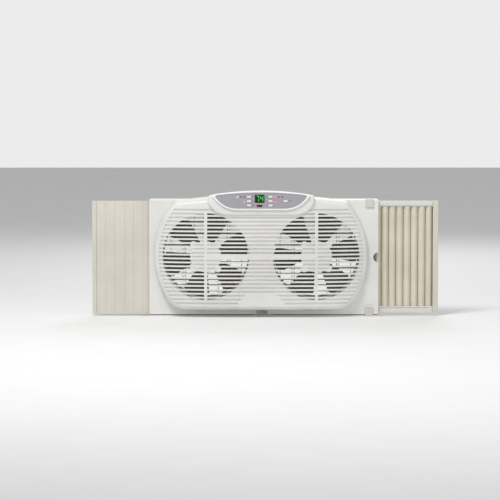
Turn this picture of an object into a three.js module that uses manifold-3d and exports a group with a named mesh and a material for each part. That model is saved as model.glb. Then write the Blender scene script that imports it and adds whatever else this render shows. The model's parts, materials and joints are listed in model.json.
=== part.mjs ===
// A twin window fan that stands on a window sill, with a display, a grooved filler panel on its
// left and a pleated curtain in a sliding frame on its right.
//
// Millimetres, +Z up, +X to the right seen from the room, +Y out through the window.
// While it is built, x = 0 is midway between the two fans, y = 0 is the front of the flange that
// closes the window, and z = 0 is the sill. The group at the end moves the origin to the middle
// of the whole object, on the sill.
import * as THREE from "three";
import { mergeVertices } from "three/addons/utils/BufferGeometryUtils.js";
import Module from "manifold-3d";

const wasm = await Module();
wasm.setup();

// ---------------------------------------------------------------- driving dimensions

// Fans and the round tunnels that they turn in
const fanPitch = 278; // between the two shafts
const openingRadius = 109; // slotted circle in the front cover
const tunnelRadius = openingRadius + 2;
const tunnelWall = 2.4;
const tunnelDepth = 60; // behind the front of the flange
const bladeTipGap = 4.5; // to the tunnel
const bladeCount = 6;
const bladeAngle = 38; // degrees that one blade covers
const bladeThickness = 2;
const bladeTwist = 24; // how far a blade's tip reaches along the shaft
const bladeRootTwist = 15;
const leftBladeStart = 15; // degrees, first blade of the left fan
const rightBladeStart = 8;
const hubRadius = 24;

// Front cover: its margins round the slotted circles, then where they put it
const coverSideMargin = 22;
const coverFloorMargin = 28;
const coverCrestMargin = 46.2;
const coverCornerDrop = 16.6; // from the crest down to the two sharp corners
const coverCornerInset = 53; // of those corners, from the side
const flangeLift = 4.6; // under the flange, above the sill
const coverLift = 11.8; // bottom of the cover above that of the flange
const coverBottom = flangeLift + coverLift;
const fanHeight = coverBottom + coverFloorMargin + openingRadius; // shafts above the sill
const coverHalfWidth = fanPitch / 2 + openingRadius + coverSideMargin;
const coverCrest = fanHeight + openingRadius + coverCrestMargin;
const coverCorner = coverCrest - coverCornerDrop;
const coverCornerX = coverHalfWidth - coverCornerInset;
const coverRise = 42; // in front of the flange, in the middle
const crownDrop = 25; // how far the ends of its face curve back
const crownPower = 3.2;
const shoulder = 13.3; // width of the rounded edge
const sideRadius = 207;
const cornerFillet = 60;

// Window frame: the flange and the box behind it
const flangeBesideLeft = 12; // from the cover's side to the flange's end
const flangeBesideRight = 26;
const flangeUnderCrest = 15;
const frameLeft = coverHalfWidth + flangeBesideLeft; // from the middle of the fans
const frameRight = coverHalfWidth + flangeBesideRight;
const frameTop = coverCrest - flangeUnderCrest;
const flangeThickness = 3;
const wall = 2.4;
const frameDepth = 40; // where the rear housing takes over
const overallDepth = 72; // behind the front of the flange
const seam = 0.3; // between pieces that touch

// Grille of the cover
const rowPitch = 9.8;
const slotHeight = 5;
const slotRows = 11; // rows with slots above and below the shafts
const lowHookInset = 22; // hooks of the cover, at its bottom and at its top
const lowHookX = fanPitch / 2 - lowHookInset;
const highHookInset = 42; // from the sharp corner of the cover
const highHookX = coverCornerX - highHookInset;
const hookWidth = 12;
const hookThickness = 2.2;
const hookLength = 6.8; // behind the front of the flange
const hubDiscRadius = 39.2;
const bossOffset = 30.6; // each motor boss, across and up from the shaft
const bossRadius = 8.6;
const spokeWidth = 7.8; // above and below each hub disc
const barHeight = 11; // bar between the two hub discs

// Hood with the controls: each rim is set out from the one around it
const hoodProud = 3.5; // of the cover's face
const hoodFront = coverRise + hoodProud; // in front of the flange
const hoodHalf = 134;
const hoodUnderCrest = 51.6; // bottom of the hood under the cover's crest
const hoodCornerWidth = 49;
const hoodTipDrop = 17.2; // from the end of its crest to where it is widest
const hoodBack = 8;
const hoodBevel = 3;
const hoodBottom = coverCrest - hoodUnderCrest;
const hoodFlatHalf = hoodHalf - hoodCornerWidth;
const bezelSideMargin = 12.5;
const bezelBottomMargin = 14.2;
const bezelRise = 47.8; // from its bottom to its crest
const bezelTipDrop = 4.4;
const bezelCrestRadius = 752;
const bezelHeight = 3.9;
const bezelHalf = hoodHalf - bezelSideMargin;
const bezelBottom = hoodBottom + bezelBottomMargin;
const bezelCrest = bezelBottom + bezelRise;
const fasciaSideMargin = 7.5;
const fasciaBottomMargin = 4.1;
const fasciaTopMargin = 4.2;
const fasciaTipDrop = 4.5;
const fasciaCornerWidth = 54;
const fasciaCrestRadius = 940;
const fasciaThickness = 2;
const fasciaSink = 1.4; // below the rim of the bezel
const fasciaHalf = bezelHalf - fasciaSideMargin;
const fasciaFlatHalf = fasciaHalf - fasciaCornerWidth;
const fasciaBottom = bezelBottom + fasciaBottomMargin;
const fasciaCrest = bezelCrest - fasciaTopMargin;
const ledge = 3; // that the fascia sits on

// Controls in the fascia. A height there is a share of the fascia's own height.
const fasciaAt = (share) => fasciaBottom + share * (fasciaCrest - fasciaBottom);
const displayX = -3.8;
const displayWidth = 24;
const displayHeight = 20;
const displayZ = fasciaAt(0.62);
const receiverWidth = 15;
const receiverHeight = 5;
const receiverZ = fasciaAt(0.165);
const buttonWidth = 11;
const buttonHeight = 4.8;
const buttonTravel = 1.2;
const buttonProud = 1.5;
const buttonRows = [0.742, 0.468, 0.195].map(fasciaAt);
const leftButtonsX = -30.4;
const rightButtonsX = 23.3;
const endButtonX = 61.2;
const indicatorRadius = 1.9;
const indicatorTopZ = fasciaAt(0.734);
const leftIndicatorsX = [-59, -50.5, -42.2];
const rightIndicatorsX = [35, 44, 53];
const lowIndicatorZ = fasciaAt(0.423);
const boardThickness = 1.6;
const boardHalf = fasciaHalf - 22;
const boardBottom = fasciaBottom + 2.2;
const boardTop = fasciaCrest - 9.8;
const boardBehind = 5.2; // from the back of the fascia to the board
const chipLeft = 30;
const chipSide = 20;
const chipHeight = 14;
const chipLift = 6.5; // above the bottom of the board
const boardPlugLeft = -18;
const boardPlugWidth = 26;

// Motors, carried by four posts behind each hub disc
const motorRadius = 34.4;
const motorFront = 13.7; // in front of the front of the flange
const motorRear = 23;
const motorShell = 1.2;
const coreHalfGap = 0.5; // air gap between rotor and stator
const rotorRadius = 17;
const coreFront = 4.4;
const coreRear = 13.4;
const coilDepth = 6;
const shaftRadius = 3;
const shaftRear = 61;
const bearingRadius = 8;
const bearingWidth = 5;
const bearingPlay = 0.05;
const postBore = 2.2;
const screwRadius = 1.9;
const screwHeadRadius = 3.6;
const screwHeadHeight = 2.2;
const motorScrewLength = 12;
const impellerFront = 32;
const impellerRear = 57;
const nutRadius = 6;
const nutDepth = 4;

// Filler panel on the left
const panelReach = 144; // beyond the flange
const panelTongue = 10; // inside the pocket
const panelFront = 8; // behind the front of the flange
const panelDepth = 8;
const panelSkin = 2.5;
const panelBottom = 5;
const panelGroovesAt = [34.5, 57.1, 82.2, 104.8, 128]; // from its outer end
const panelEndStrip = 9.5;
const pocketGap = 1.6; // between the tunnel and the pocket

// Sliding frame with the pleated curtain on the right
const extenderReach = 151.3; // end bar beyond the flange
const endBarWidth = 13.5;
const endBarDepth = 19;
const railFront = 7.8;
const railDepth = 14.4;
const topRailHeight = 11.4;
const bottomRailHeight = 12.3;
const railInside = 60; // left in the channel when pulled right out
const channelPastHook = 9; // left end of the channels, from the middle of the hook
const extenderTravel = 130;
const railPlay = 0.3;
const bottomRailLift = 8;
const pleatCount = 9;
const pleatDepth = 12;
const curtainThickness = 1;
const stripWidth = 7;
const partitionGap = 4.6; // between the tunnel and the end of the channels
const partitionX = fanPitch / 2 + tunnelRadius + tunnelWall + partitionGap;

// Sliding locks of the extender, and the notches
const lockWidth = 20;
const lockHeight = 20.5;
const topLockInset = 22; // from the end of the flange
const bottomLockInset = 23.4;
const lockRise = 2.5; // above the flange
const lockProud = 2.5; // in front of the flange
const lockTravel = 4.5;
const lockRecess = 1.2;
const lockRecessBelow = 8.5;
const fingerNotchRadius = 12.8;
const fingerNotchDrop = 4.4; // under the shafts
const sillNotchX = 2;
const sillNotchWidth = 26;
const sillNotchTop = coverBottom + 0.8;
const sillWellDepth = 12;

// Rear grille
const rearRowPitch = 14.7;
const rearSlotHeight = 10.7;
const rearRibPitch = 54;
const rearRibWidth = 2.2;
const rearOpeningRadius = tunnelRadius - 4;
const rearHubRadius = 30;
const housingScrewX = partitionX - 4;
const housingScrewLift = 9.7; // above the bottom rail
const housingScrewDrop = 11.5; // under the top rail
const housingPostRadius = 5;
const housingScrewLength = 16;

// Mains side
const powerBoardHalf = 55;
const powerBoardHeight = 24;
const powerBoardBottom = coverBottom + 5.6;
const powerBoardTop = powerBoardBottom + powerBoardHeight;
const transformerWidth = 34;
const transformerDepth = 24;
const capacitorWidth = 16;
const capacitorPitch = 20;
const capacitorDepth = 15;
const socketHalf = 20;
const powerBoardY = 10;
const grommetX = -150;
const grommetRadius = 4.6;
const grommetProud = 1.6; // under the cover
const leadRadius = 2.2;
const leadGateDrop = 87.4; // opening for the motor leads in the flange, under the shafts
const leadGateHalf = 22;
const leadGateHeight = 44;

// ---------------------------------------------------------------- solids

function solid(geometry) {
  const bare = geometry.clone();
  bare.deleteAttribute("normal");
  bare.deleteAttribute("uv");
  const merged = mergeVertices(bare, 1e-4);
  const vertProperties = new Float32Array(merged.attributes.position.array);
  const triVerts = new Uint32Array(merged.index.array);
  return new wasm.Manifold(new wasm.Mesh({ numProp: 3, vertProperties, triVerts }));
}

function geometryOf(manifold) {
  const mesh = manifold.getMesh();
  const position = new THREE.BufferAttribute(new Float32Array(mesh.vertProperties), 3);
  const geometry = new THREE.BufferGeometry().setAttribute("position", position);
  geometry.setIndex(new THREE.BufferAttribute(new Uint32Array(mesh.triVerts), 1));
  const faceted = geometry.toNonIndexed();
  faceted.computeVertexNormals();
  return faceted;
}

function joined(solids) {
  return solids.reduce((whole, piece) => whole.add(piece));
}

// A block from its low corner to its high corner.
function block(x0, x1, y0, y1, z0, z1) {
  const box = new THREE.BoxGeometry(x1 - x0, y1 - y0, z1 - z0);
  box.translate((x0 + x1) / 2, (y0 + y1) / 2, (z0 + z1) / 2);
  return solid(box);
}

// A straight prism: an outline of the front view, from y0 back to y1.
function prism(outline, y0, y1, curveSegments = 4) {
  const options = { depth: y1 - y0, bevelEnabled: false, curveSegments };
  const body = new THREE.ExtrudeGeometry(outline, options);
  body.rotateX(Math.PI / 2);
  body.translate(0, y1, 0);
  return solid(body);
}

// A prism whose front edge is bevelled.
function bevelledPrism(outline, front, back, bevel) {
  const options = { depth: back - front - bevel, bevelThickness: bevel, bevelSize: bevel };
  Object.assign(options, { bevelOffset: -bevel, bevelSegments: 2, curveSegments: 6 });
  const body = new THREE.ExtrudeGeometry(outline, options);
  body.rotateX(Math.PI / 2);
  body.translate(0, back, 0);
  const reach = 1000;
  return solid(body).intersect(block(-reach, reach, front - 1, back, -reach, reach));
}

// A disc or drum whose axis runs along y.
function drum(x, z, radius, y0, y1, sides = 32) {
  const body = new THREE.CylinderGeometry(radius, radius, y1 - y0, sides);
  body.translate(x, (y0 + y1) / 2, z);
  return solid(body);
}

function tube(x, z, inner, outer, y0, y1, sides = 32) {
  return drum(x, z, outer, y0, y1, sides).subtract(drum(x, z, inner, y0 - 1, y1 + 1, sides));
}

// A rectangle with round ends, as a front view outline.
function oblong(x, z, width, height) {
  const r = height / 2;
  const outline = new THREE.Shape();
  outline.absarc(x + width / 2 - r, z, r, -Math.PI / 2, Math.PI / 2, false);
  outline.absarc(x - width / 2 + r, z, r, Math.PI / 2, (3 * Math.PI) / 2, false);
  return outline;
}

// ---------------------------------------------------------------- materials

const finishes = {
  whitePlastic: { color: 0xe2e0db, roughness: 0.45, metalness: 0 },
  beigePlastic: { color: 0xcbc6bb, roughness: 0.5, metalness: 0 },
  curtainVinyl: { color: 0xcdc6b4, roughness: 0.6, metalness: 0 },
  silverFascia: { color: 0xa6a5a9, roughness: 0.35, metalness: 0.4 },
  buttonWhite: { color: 0xf0f0ee, roughness: 0.4, metalness: 0 },
  smokedLens: { color: 0x101211, roughness: 0.1, metalness: 0 },
  redLens: { color: 0x3a0710, roughness: 0.1, metalness: 0 },
  clearGuide: { color: 0xd8dedc, roughness: 0.15, metalness: 0 },
  bladePlastic: { color: 0x585452, roughness: 0.35, metalness: 0 },
  circuitBoard: { color: 0x2d5a36, roughness: 0.6, metalness: 0 },
  steel: { color: 0xa9abad, roughness: 0.35, metalness: 0.9 },
  laminations: { color: 0x6c6e70, roughness: 0.5, metalness: 0.8 },
  copper: { color: 0xb4643a, roughness: 0.4, metalness: 0.8 },
  bronze: { color: 0xa98550, roughness: 0.4, metalness: 0.8 },
  rubber: { color: 0x26262a, roughness: 0.8, metalness: 0 },
};

for (const [name, values] of Object.entries(finishes)) {
  finishes[name] = new THREE.MeshStandardMaterial({ name, ...values });
}

const fan = new THREE.Group();

function addPart(name, body, material) {
  const mesh = new THREE.Mesh(geometryOf(body), material);
  mesh.name = name;
  fan.add(mesh);
}

// ---------------------------------------------------------------- shared places

const leftFanX = -fanPitch / 2;
const rightFanX = fanPitch / 2;
const sides = [
  { side: "left", x: leftFanX, inward: 1, bladeStart: leftBladeStart },
  { side: "right", x: rightFanX, inward: -1, bladeStart: rightBladeStart },
];
const bossPlaces = [-1, 1].flatMap((u) => [-1, 1].map((v) => [u * bossOffset, v * bossOffset]));
const sideCentreX = coverHalfWidth - sideRadius;
const faceHalf = coverHalfWidth - shoulder;
const crestRadius =
  (coverCornerX ** 2 + (coverCrest - coverCorner) ** 2) / (2 * (coverCrest - coverCorner));
const hubBack = 2.4; // thickness of the cover's face

// How far the face of the cover stands in front of the flange.
function crownAt(x) {
  return coverRise - crownDrop * Math.min(1, Math.abs(x) / faceHalf) ** crownPower;
}

// Bottom corner fillet: it touches the flat bottom and, from inside, the round side.
const bottomReach = fanHeight - coverBottom;
const filletX =
  sideCentreX +
  Math.sqrt((sideRadius - cornerFillet) ** 2 - (bottomReach - cornerFillet) ** 2);
const filletZ = coverBottom + cornerFillet;
const filletEnd = Math.atan2(fanHeight - filletZ, filletX - sideCentreX);

// Heights of the cover's outline, drawn in by inset, at a distance x from the middle.
function coverTopAt(x, inset) {
  const crest = coverCrest - crestRadius + Math.sqrt((crestRadius - inset) ** 2 - x * x);
  if (x <= sideCentreX) return crest;
  const side = fanHeight + Math.sqrt(Math.max(0, (sideRadius - inset) ** 2 - (x - sideCentreX) ** 2));
  return Math.min(crest, side);
}

function coverBottomAt(x, inset) {
  if (x <= filletX) return coverBottom + inset;
  const round = cornerFillet - inset;
  if (x <= filletX + round * Math.cos(filletEnd)) {
    return filletZ - Math.sqrt(round ** 2 - (x - filletX) ** 2);
  }
  return fanHeight - Math.sqrt(Math.max(0, (sideRadius - inset) ** 2 - (x - sideCentreX) ** 2));
}

// Angle, on the round side, of the sharp top corner of the outline.
function cornerAngle(inset) {
  let low = 0;
  let high = Math.PI / 2;
  for (let step = 0; step < 40; step += 1) {
    const angle = (low + high) / 2;
    const x = sideCentreX + (sideRadius - inset) * Math.cos(angle);
    const z = fanHeight + (sideRadius - inset) * Math.sin(angle);
    const crest = coverCrest - crestRadius + Math.sqrt((crestRadius - inset) ** 2 - x * x);
    if (z < crest) low = angle;
    else high = angle;
  }
  return low;
}

// Stations across the cover, each with its x and the heights of the outline there.
function coverStations(inset, fine) {
  const angle = cornerAngle(inset);
  const cornerX = sideCentreX + (sideRadius - inset) * Math.cos(angle);
  const half = fine ? [rightFanX, filletX, cornerX] : [rightFanX, cornerX];
  const sideSteps = fine ? 6 : 4;
  for (let step = 1; step <= sideSteps; step += 1) {
    half.push(sideCentreX + (sideRadius - inset) * Math.cos(angle * (1 - step / sideSteps)));
  }
  const xs = [...half.map((x) => -x).reverse(), 0, ...half];
  const last = xs.length - 1;
  return xs.map((x, index) => {
    const tip = index === 0 || index === last;
    return {
      x,
      top: tip ? fanHeight : coverTopAt(Math.abs(x), inset),
      bottom: tip ? fanHeight : coverBottomAt(Math.abs(x), inset),
    };
  });
}

// A closed body of stacked outlines: rings is a list of [inset, depth function].
function stackedOutlines(rings, fine) {
  const positions = [];
  const faces = [];
  const loops = rings.map(([inset, depthAt]) => {
    const stations = coverStations(inset, fine);
    const start = positions.length / 3;
    for (const { x, bottom } of stations) positions.push(x, depthAt(x), bottom);
    const top = stations.slice(1, -1).reverse();
    for (const { x, top: z } of top) positions.push(x, depthAt(x), z);
    return { start, across: stations.length, count: stations.length + top.length };
  });
  for (let ring = 0; ring + 1 < loops.length; ring += 1) {
    const { start: a, count } = loops[ring];
    const b = loops[ring + 1].start;
    for (let i = 0; i < count; i += 1) {
      const j = (i + 1) % count;
      faces.push(a + i, a + j, b + j, a + i, b + j, b + i);
    }
  }
  for (const [loop, flip] of [[loops[0], true], [loops.at(-1), false]]) {
    const { start, across, count } = loop;
    for (let i = 0; i + 1 < across; i += 1) {
      const low = [start + i, start + i + 1];
      const high = [start + ((count - i) % count), start + count - i - 1];
      const quads = [[low[0], low[1], high[1]], [low[0], high[1], high[0]]];
      for (const [p, q, r] of quads) {
        if (p === q || q === r || r === p) continue;
        faces.push(...(flip ? [p, r, q] : [p, q, r]));
      }
    }
  }
  const geometry = new THREE.BufferGeometry();
  geometry.setAttribute("position", new THREE.Float32BufferAttribute(positions, 3));
  geometry.setIndex(faces);
  return solid(geometry);
}

// The rounded edge of the cover: shares of its width and of its rise.
const edgeProfile = [[0, 0], [0.1, 0.45], [0.38, 0.78], [0.72, 0.95], [1, 1]];

function coverVolume(thin, back) {
  const fine = thin === 0;
  const profile = fine ? edgeProfile : edgeProfile.filter((_, index) => index !== 3);
  const rings = profile.map(([across, up], index) => [
    across * shoulder + thin,
    (x) => (index === 0 ? back : -(crownAt(x) - thin) * up),
  ]);
  return stackedOutlines(rings, fine);
}

// ---------------------------------------------------------------- outlines of the hood

// A lens: crest arc on top, flat bottom, and round lower corners that rise to the tips.
function lens(half, flatHalf, bottom, tipDrop, crest, crestArc) {
  const shoulderX = half - 5;
  const shoulderZ = crest - crestArc + Math.sqrt(crestArc ** 2 - shoulderX ** 2);
  const tip = shoulderZ - tipDrop;
  const rise = tip - bottom;
  const run = half - flatHalf;
  const radius = (run ** 2 + rise ** 2) / (2 * rise);
  const endAngle = Math.atan2(rise - radius, run);
  const topAngle = Math.asin(shoulderX / crestArc);
  const outline = new THREE.Shape();
  outline.moveTo(flatHalf, bottom);
  outline.absarc(flatHalf, bottom + radius, radius, -Math.PI / 2, endAngle, false);
  outline.quadraticCurveTo(half + 0.5, shoulderZ - 1, shoulderX, shoulderZ);
  outline.absarc(0, crest - crestArc, crestArc, Math.PI / 2 - topAngle, Math.PI / 2 + topAngle);
  outline.quadraticCurveTo(-half - 0.5, shoulderZ - 1, -half, tip);
  outline.absarc(-flatHalf, bottom + radius, radius, Math.PI - endAngle, (3 * Math.PI) / 2);
  return outline;
}

const bezelOuter = lens(
  bezelHalf, fasciaFlatHalf, bezelBottom, bezelTipDrop, bezelCrest, bezelCrestRadius,
);
const fasciaOutline = (grow) =>
  lens(
    fasciaHalf + grow, fasciaFlatHalf, fasciaBottom - grow, fasciaTipDrop,
    fasciaCrest + grow, fasciaCrestRadius,
  );
const hoodOutline = (thin) =>
  lens(
    hoodHalf - thin, hoodFlatHalf, hoodBottom + thin, hoodTipDrop,
    bezelCrest - 0.6 - thin, bezelCrestRadius,
  );

// ---------------------------------------------------------------- front cover

const bezelBack = -hoodFront - seam;
const bezelFront = bezelBack - bezelHeight;
const fasciaFront = bezelFront + fasciaSink;
const fasciaBack = fasciaFront + fasciaThickness;
const boardFront = fasciaBack + boardBehind;
const boardBack = boardFront + boardThickness;

function rowHeights(rows) {
  return Array.from({ length: 2 * rows + 1 }, (_, i) => fanHeight + (i - rows) * rowPitch);
}

// The slotted part of one fan's circle, as the body that is cut away.
function fanSlots(x, inward) {
  const reach = openingRadius + 1;
  const ahead = -coverRise - 18; // in front of the cover and behind it
  const behind = 6;
  const rows = rowHeights(slotRows).map((z) =>
    block(x - reach, x + reach, -coverRise - 9, 4, z - slotHeight / 2, z + slotHeight / 2),
  );
  const barEnd = inward * reach;
  const kept = [
    drum(x, fanHeight, hubDiscRadius, ahead, behind, 20),
    ...bossPlaces.map(([u, v]) => drum(x + u, fanHeight + v, bossRadius, ahead, behind, 8)),
    block(x - spokeWidth / 2, x + spokeWidth / 2, ahead, behind, fanHeight - reach, fanHeight + reach),
    block(
      x + Math.min(0, barEnd), x + Math.max(0, barEnd), ahead, behind,
      fanHeight - barHeight / 2, fanHeight + barHeight / 2,
    ),
  ];
  const circle = drum(x, fanHeight, openingRadius, ahead, behind - 1, 28);
  return joined(rows).intersect(circle).subtract(joined(kept));
}

// Hooks that hold the cover on the flange, and the pairs of release holes under them.
const hookPlaces = [-1, 1].flatMap((u) => [
  [u * lowHookX, coverBottomAt(lowHookX, 0) + 6],
  [u * highHookX, coverTopAt(highHookX, 0) - 12],
]);

function hook([x, z]) {
  const inward = z < fanHeight ? 1 : -1;
  const [low, high] = [z - hookThickness / 2, z + hookThickness / 2];
  const tongue = block(x - hookWidth / 2, x + hookWidth / 2, -14, hookLength, low, high);
  const lip = block(
    x - hookWidth / 2, x + hookWidth / 2, flangeThickness + seam, hookLength,
    inward > 0 ? low : low - 1.2, inward > 0 ? high + 1.2 : high,
  );
  const reach = z < fanHeight ? [z - 5, z] : [z, z + 10];
  const web = block(x - hookWidth / 2, x + hookWidth / 2, -14, -11, ...reach);
  return joined([tongue, lip, web]);
}

function motorPost(x, z) {
  const front = -crownAt(x) + hubBack / 2;
  return drum(x, z, bossRadius - 1.4, front, -motorFront - seam, 12);
}

function frontCover() {
  const outside = coverVolume(0, -seam);
  const hood = bevelledPrism(hoodOutline(0), -hoodFront, -hoodBack, hoodBevel);
  const hollow = coverVolume(wall, 5);
  const hoodHollow = prism(hoodOutline(wall), -hoodFront + wall, -hoodBack - wall);
  let cover = outside.add(hood).subtract(hollow).subtract(hoodHollow);
  cover = cover.subtract(prism(fasciaOutline(-ledge), -hoodFront - 2, -hoodFront + wall + 1));
  for (const { x, inward } of sides) {
    cover = cover.subtract(fanSlots(x, inward));
    for (const [u, v] of bossPlaces) cover = cover.add(motorPost(x + u, fanHeight + v));
    for (const [u, v] of bossPlaces) {
      cover = cover.subtract(
        drum(x + u, fanHeight + v, postBore, -motorFront - motorScrewLength - 3, 0, 8),
      );
    }
  }
  for (const place of hookPlaces) cover = cover.add(hook(place));
  const grommetHole = new THREE.CylinderGeometry(grommetRadius + seam, grommetRadius + seam, 12, 16);
  grommetHole.rotateX(Math.PI / 2).translate(grommetX, -10, coverBottom);
  return cover.subtract(solid(grommetHole));
}

addPart("front_cover", frontCover(), finishes.whitePlastic);

// ---------------------------------------------------------------- hood: bezel, fascia, controls

const bezel = prism(bezelOuter, bezelFront, bezelBack, 6)
  .subtract(prism(fasciaOutline(seam), bezelFront - 1, bezelBack + 1, 6));
addPart("hood_bezel", bezel, finishes.whitePlastic);

const cap = (x, z) => ({ x, z, outline: oblong(x, z, buttonWidth, buttonHeight) });
const buttons = {
  power_button: cap(leftButtonsX, buttonRows[0]),
  speed_button: cap(leftButtonsX, buttonRows[1]),
  mode_button: cap(leftButtonsX, buttonRows[2]),
  warmer_button: cap(rightButtonsX, buttonRows[0]),
  cooler_button: cap(rightButtonsX, buttonRows[1]),
  unit_button: cap(rightButtonsX, buttonRows[2]),
  auto_button: cap(endButtonX, buttonRows[1]),
};
const leftIndicators = [
  ...leftIndicatorsX.map((x) => [x, indicatorTopZ]), [leftIndicatorsX[2], lowIndicatorZ],
];
const rightIndicators = [
  ...rightIndicatorsX.map((x) => [x, indicatorTopZ]), [rightIndicatorsX[0], lowIndicatorZ],
];
const displayBlock = (grow, y0, y1) =>
  block(
    displayX - displayWidth / 2 - grow, displayX + displayWidth / 2 + grow, y0, y1,
    displayZ - displayHeight / 2 - grow, displayZ + displayHeight / 2 + grow,
  );
const boardPosts = [-1, 1].map((u) => [u * (boardHalf - 4), boardBottom + 14]);
boardPosts.push([-14, boardBottom + 4], [6, boardBottom + 4]);

function fascia() {
  const y0 = fasciaFront;
  const y1 = fasciaBack;
  let plate = prism(fasciaOutline(0), y0, y1, 6);
  plate = plate.subtract(displayBlock(seam, y0 - 1, y1 + 1));
  const receiver = oblong(displayX, receiverZ, receiverWidth + 0.6, receiverHeight + 0.6);
  plate = plate.subtract(prism(receiver, y0 - 1, y1 + 1));
  for (const { x, z } of Object.values(buttons)) {
    const hole = oblong(x, z, buttonWidth + 0.6, buttonHeight + 0.6);
    plate = plate.subtract(prism(hole, y0 - 1, y1 + 1, 3));
  }
  for (const [x, z] of [...leftIndicators, ...rightIndicators]) {
    plate = plate.subtract(drum(x, z, indicatorRadius + seam, y0 - 1, y1 + 1, 8));
  }
  for (const [x, z] of boardPosts.slice(0, 2)) {
    plate = plate.add(drum(x, z, 3, y1 - 0.5, boardFront - seam, 10));
  }
  return plate;
}

addPart("control_fascia", fascia(), finishes.silverFascia);
addPart("display_window", displayBlock(0, fasciaFront - 0.3, fasciaBack), finishes.smokedLens);
addPart(
  "receiver_lens",
  prism(
    oblong(displayX, receiverZ, receiverWidth, receiverHeight), fasciaFront - 0.3, fasciaBack + 0.5,
  ),
  finishes.redLens,
);

// Each button: a cap in the fascia, a rim behind it that keeps it in, and a stem to its switch.
const switchHeight = 1.5;
const stemBack = boardFront - switchHeight - buttonTravel - 0.3;

for (const [name, { x, z, outline }] of Object.entries(buttons)) {
  const rim = oblong(x, z, buttonWidth + 2, buttonHeight + 2);
  const body = joined([
    prism(outline, fasciaFront - buttonProud, fasciaBack + seam, 3),
    prism(rim, fasciaBack + seam - 0.05, fasciaBack + seam + 0.9, 2),
    block(x - 1.2, x + 1.2, fasciaBack + seam + 0.8, stemBack, z - 1.2, z + 1.2),
  ]);
  addPart(name, body, finishes.buttonWhite);
}

// Light guides: a bar behind the fascia with a dome in each indicator hole and a foot at each lamp.
function lightGuide(places) {
  const xs = places.map(([x]) => x);
  const back = fasciaBack + seam;
  const [lowX, lowZ] = places[3];
  const bar = block(
    Math.min(...xs) - 2, Math.max(...xs) + 2, back, back + 1.5, indicatorTopZ - 2, indicatorTopZ + 2,
  );
  const leg = block(lowX - 1.6, lowX + 1.6, back, back + 1.5, lowZ - 2, indicatorTopZ);
  const domes = places.map(([x, z]) => drum(x, z, indicatorRadius, fasciaFront - 0.5, back + 0.5, 8));
  const feet = places.map(([x, z]) =>
    block(x - 1.2, x + 1.2, back + 1, boardFront - 1.6, z - 1.2, z + 1.2),
  );
  return joined([bar, leg, ...domes, ...feet]);
}

addPart("light_guide_left", lightGuide(leftIndicators), finishes.clearGuide);
addPart("light_guide_right", lightGuide(rightIndicators), finishes.clearGuide);

function controlBoard() {
  const board = block(-boardHalf, boardHalf, boardFront, boardBack, boardBottom, boardTop);
  const switches = Object.values(buttons).map(({ x, z }) =>
    block(x - 2.6, x + 2.6, boardFront - switchHeight, boardFront + 0.5, z - 2.6, z + 2.6),
  );
  const lamps = [...leftIndicators, ...rightIndicators].map(([x, z]) =>
    block(x - 1.2, x + 1.2, boardFront - 1.1, boardFront + 0.5, z - 0.8, z + 0.8),
  );
  const receiver = block(
    displayX - 4, displayX + 4, fasciaBack + 1.2, boardFront + 0.5, receiverZ - 2, receiverZ + 2,
  );
  const digits = displayBlock(-1.5, fasciaBack + seam, boardFront + 0.5);
  const chipBottom = boardBottom + chipLift;
  const chip = block(
    chipLeft, chipLeft + chipSide, boardBack - 0.5, boardBack + 2.2,
    chipBottom, chipBottom + chipHeight,
  );
  const plug = block(
    boardPlugLeft, boardPlugLeft + boardPlugWidth, boardBack - 0.5, boardBack + 6,
    boardBottom + 1, boardBottom + 7,
  );
  return joined([board, ...switches, ...lamps, receiver, digits, chip, plug]);
}

addPart("control_board", controlBoard(), finishes.circuitBoard);

// ---------------------------------------------------------------- window frame

const topWallLow = frameTop - wall;
const panelTop = topWallLow - 0.2;
const topRailHigh = topWallLow - railPlay;
const topRailLow = topRailHigh - topRailHeight;
const bottomRailHigh = bottomRailLift + bottomRailHeight;
const channelBack = railFront + railDepth + railPlay;
const channelLeft = lowHookX + channelPastHook;
const pocketInner = -(fanPitch / 2 + tunnelRadius + tunnelWall + pocketGap);
const pocketBack = panelFront + panelDepth + 0.5;

// A lock: the block that shows, the neck through the flange and the tongue behind it.
// dir is +1 for the lock at the top edge and -1 for the one at the bottom edge.
const locks = [
  {
    name: "top_lock", x: frameRight - topLockInset,
    edge: frameTop + lockRise, dir: 1, flangeEdge: frameTop,
  },
  { name: "bottom_lock", x: frameRight - bottomLockInset, edge: 0.3, dir: -1, flangeEdge: flangeLift },
];
const neckWidth = 8;
const neckInset = 9; // from the outer edge of the lock to its neck
const neckHeight = 7;

function span(a, b) {
  return [Math.min(a, b), Math.max(a, b)];
}

function lockBody({ x, edge, dir }) {
  const inner = edge - dir * lockHeight;
  const neck = [edge - dir * neckInset, edge - dir * (neckInset + neckHeight)];
  return joined([
    block(x - lockWidth / 2, x + lockWidth / 2, -lockProud, lockRecess - 0.2, ...span(edge, inner)),
    block(x - neckWidth / 2, x + neckWidth / 2, 0, flangeThickness + 0.4, ...span(...neck)),
    block(
      x - neckWidth, x + neckWidth, flangeThickness + seam, flangeThickness + 2.3,
      ...span(neck[0], neck[1] - dir * 2),
    ),
  ]);
}

function lockCuts({ x, edge, dir, flangeEdge }) {
  const inner = edge - dir * (lockHeight + lockRecessBelow);
  const neck = [edge - dir * (neckInset - 0.4), edge - dir * (neckInset + neckHeight + lockTravel + 0.4)];
  const half = lockWidth / 2 + 0.3;
  return block(x - half, x + half, -1, lockRecess, ...span(flangeEdge + dir * 9, inner)).add(
    block(x - neckWidth / 2 - 0.4, x + neckWidth / 2 + 0.4, -1, flangeThickness + 0.1, ...span(...neck)),
  );
}

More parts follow.
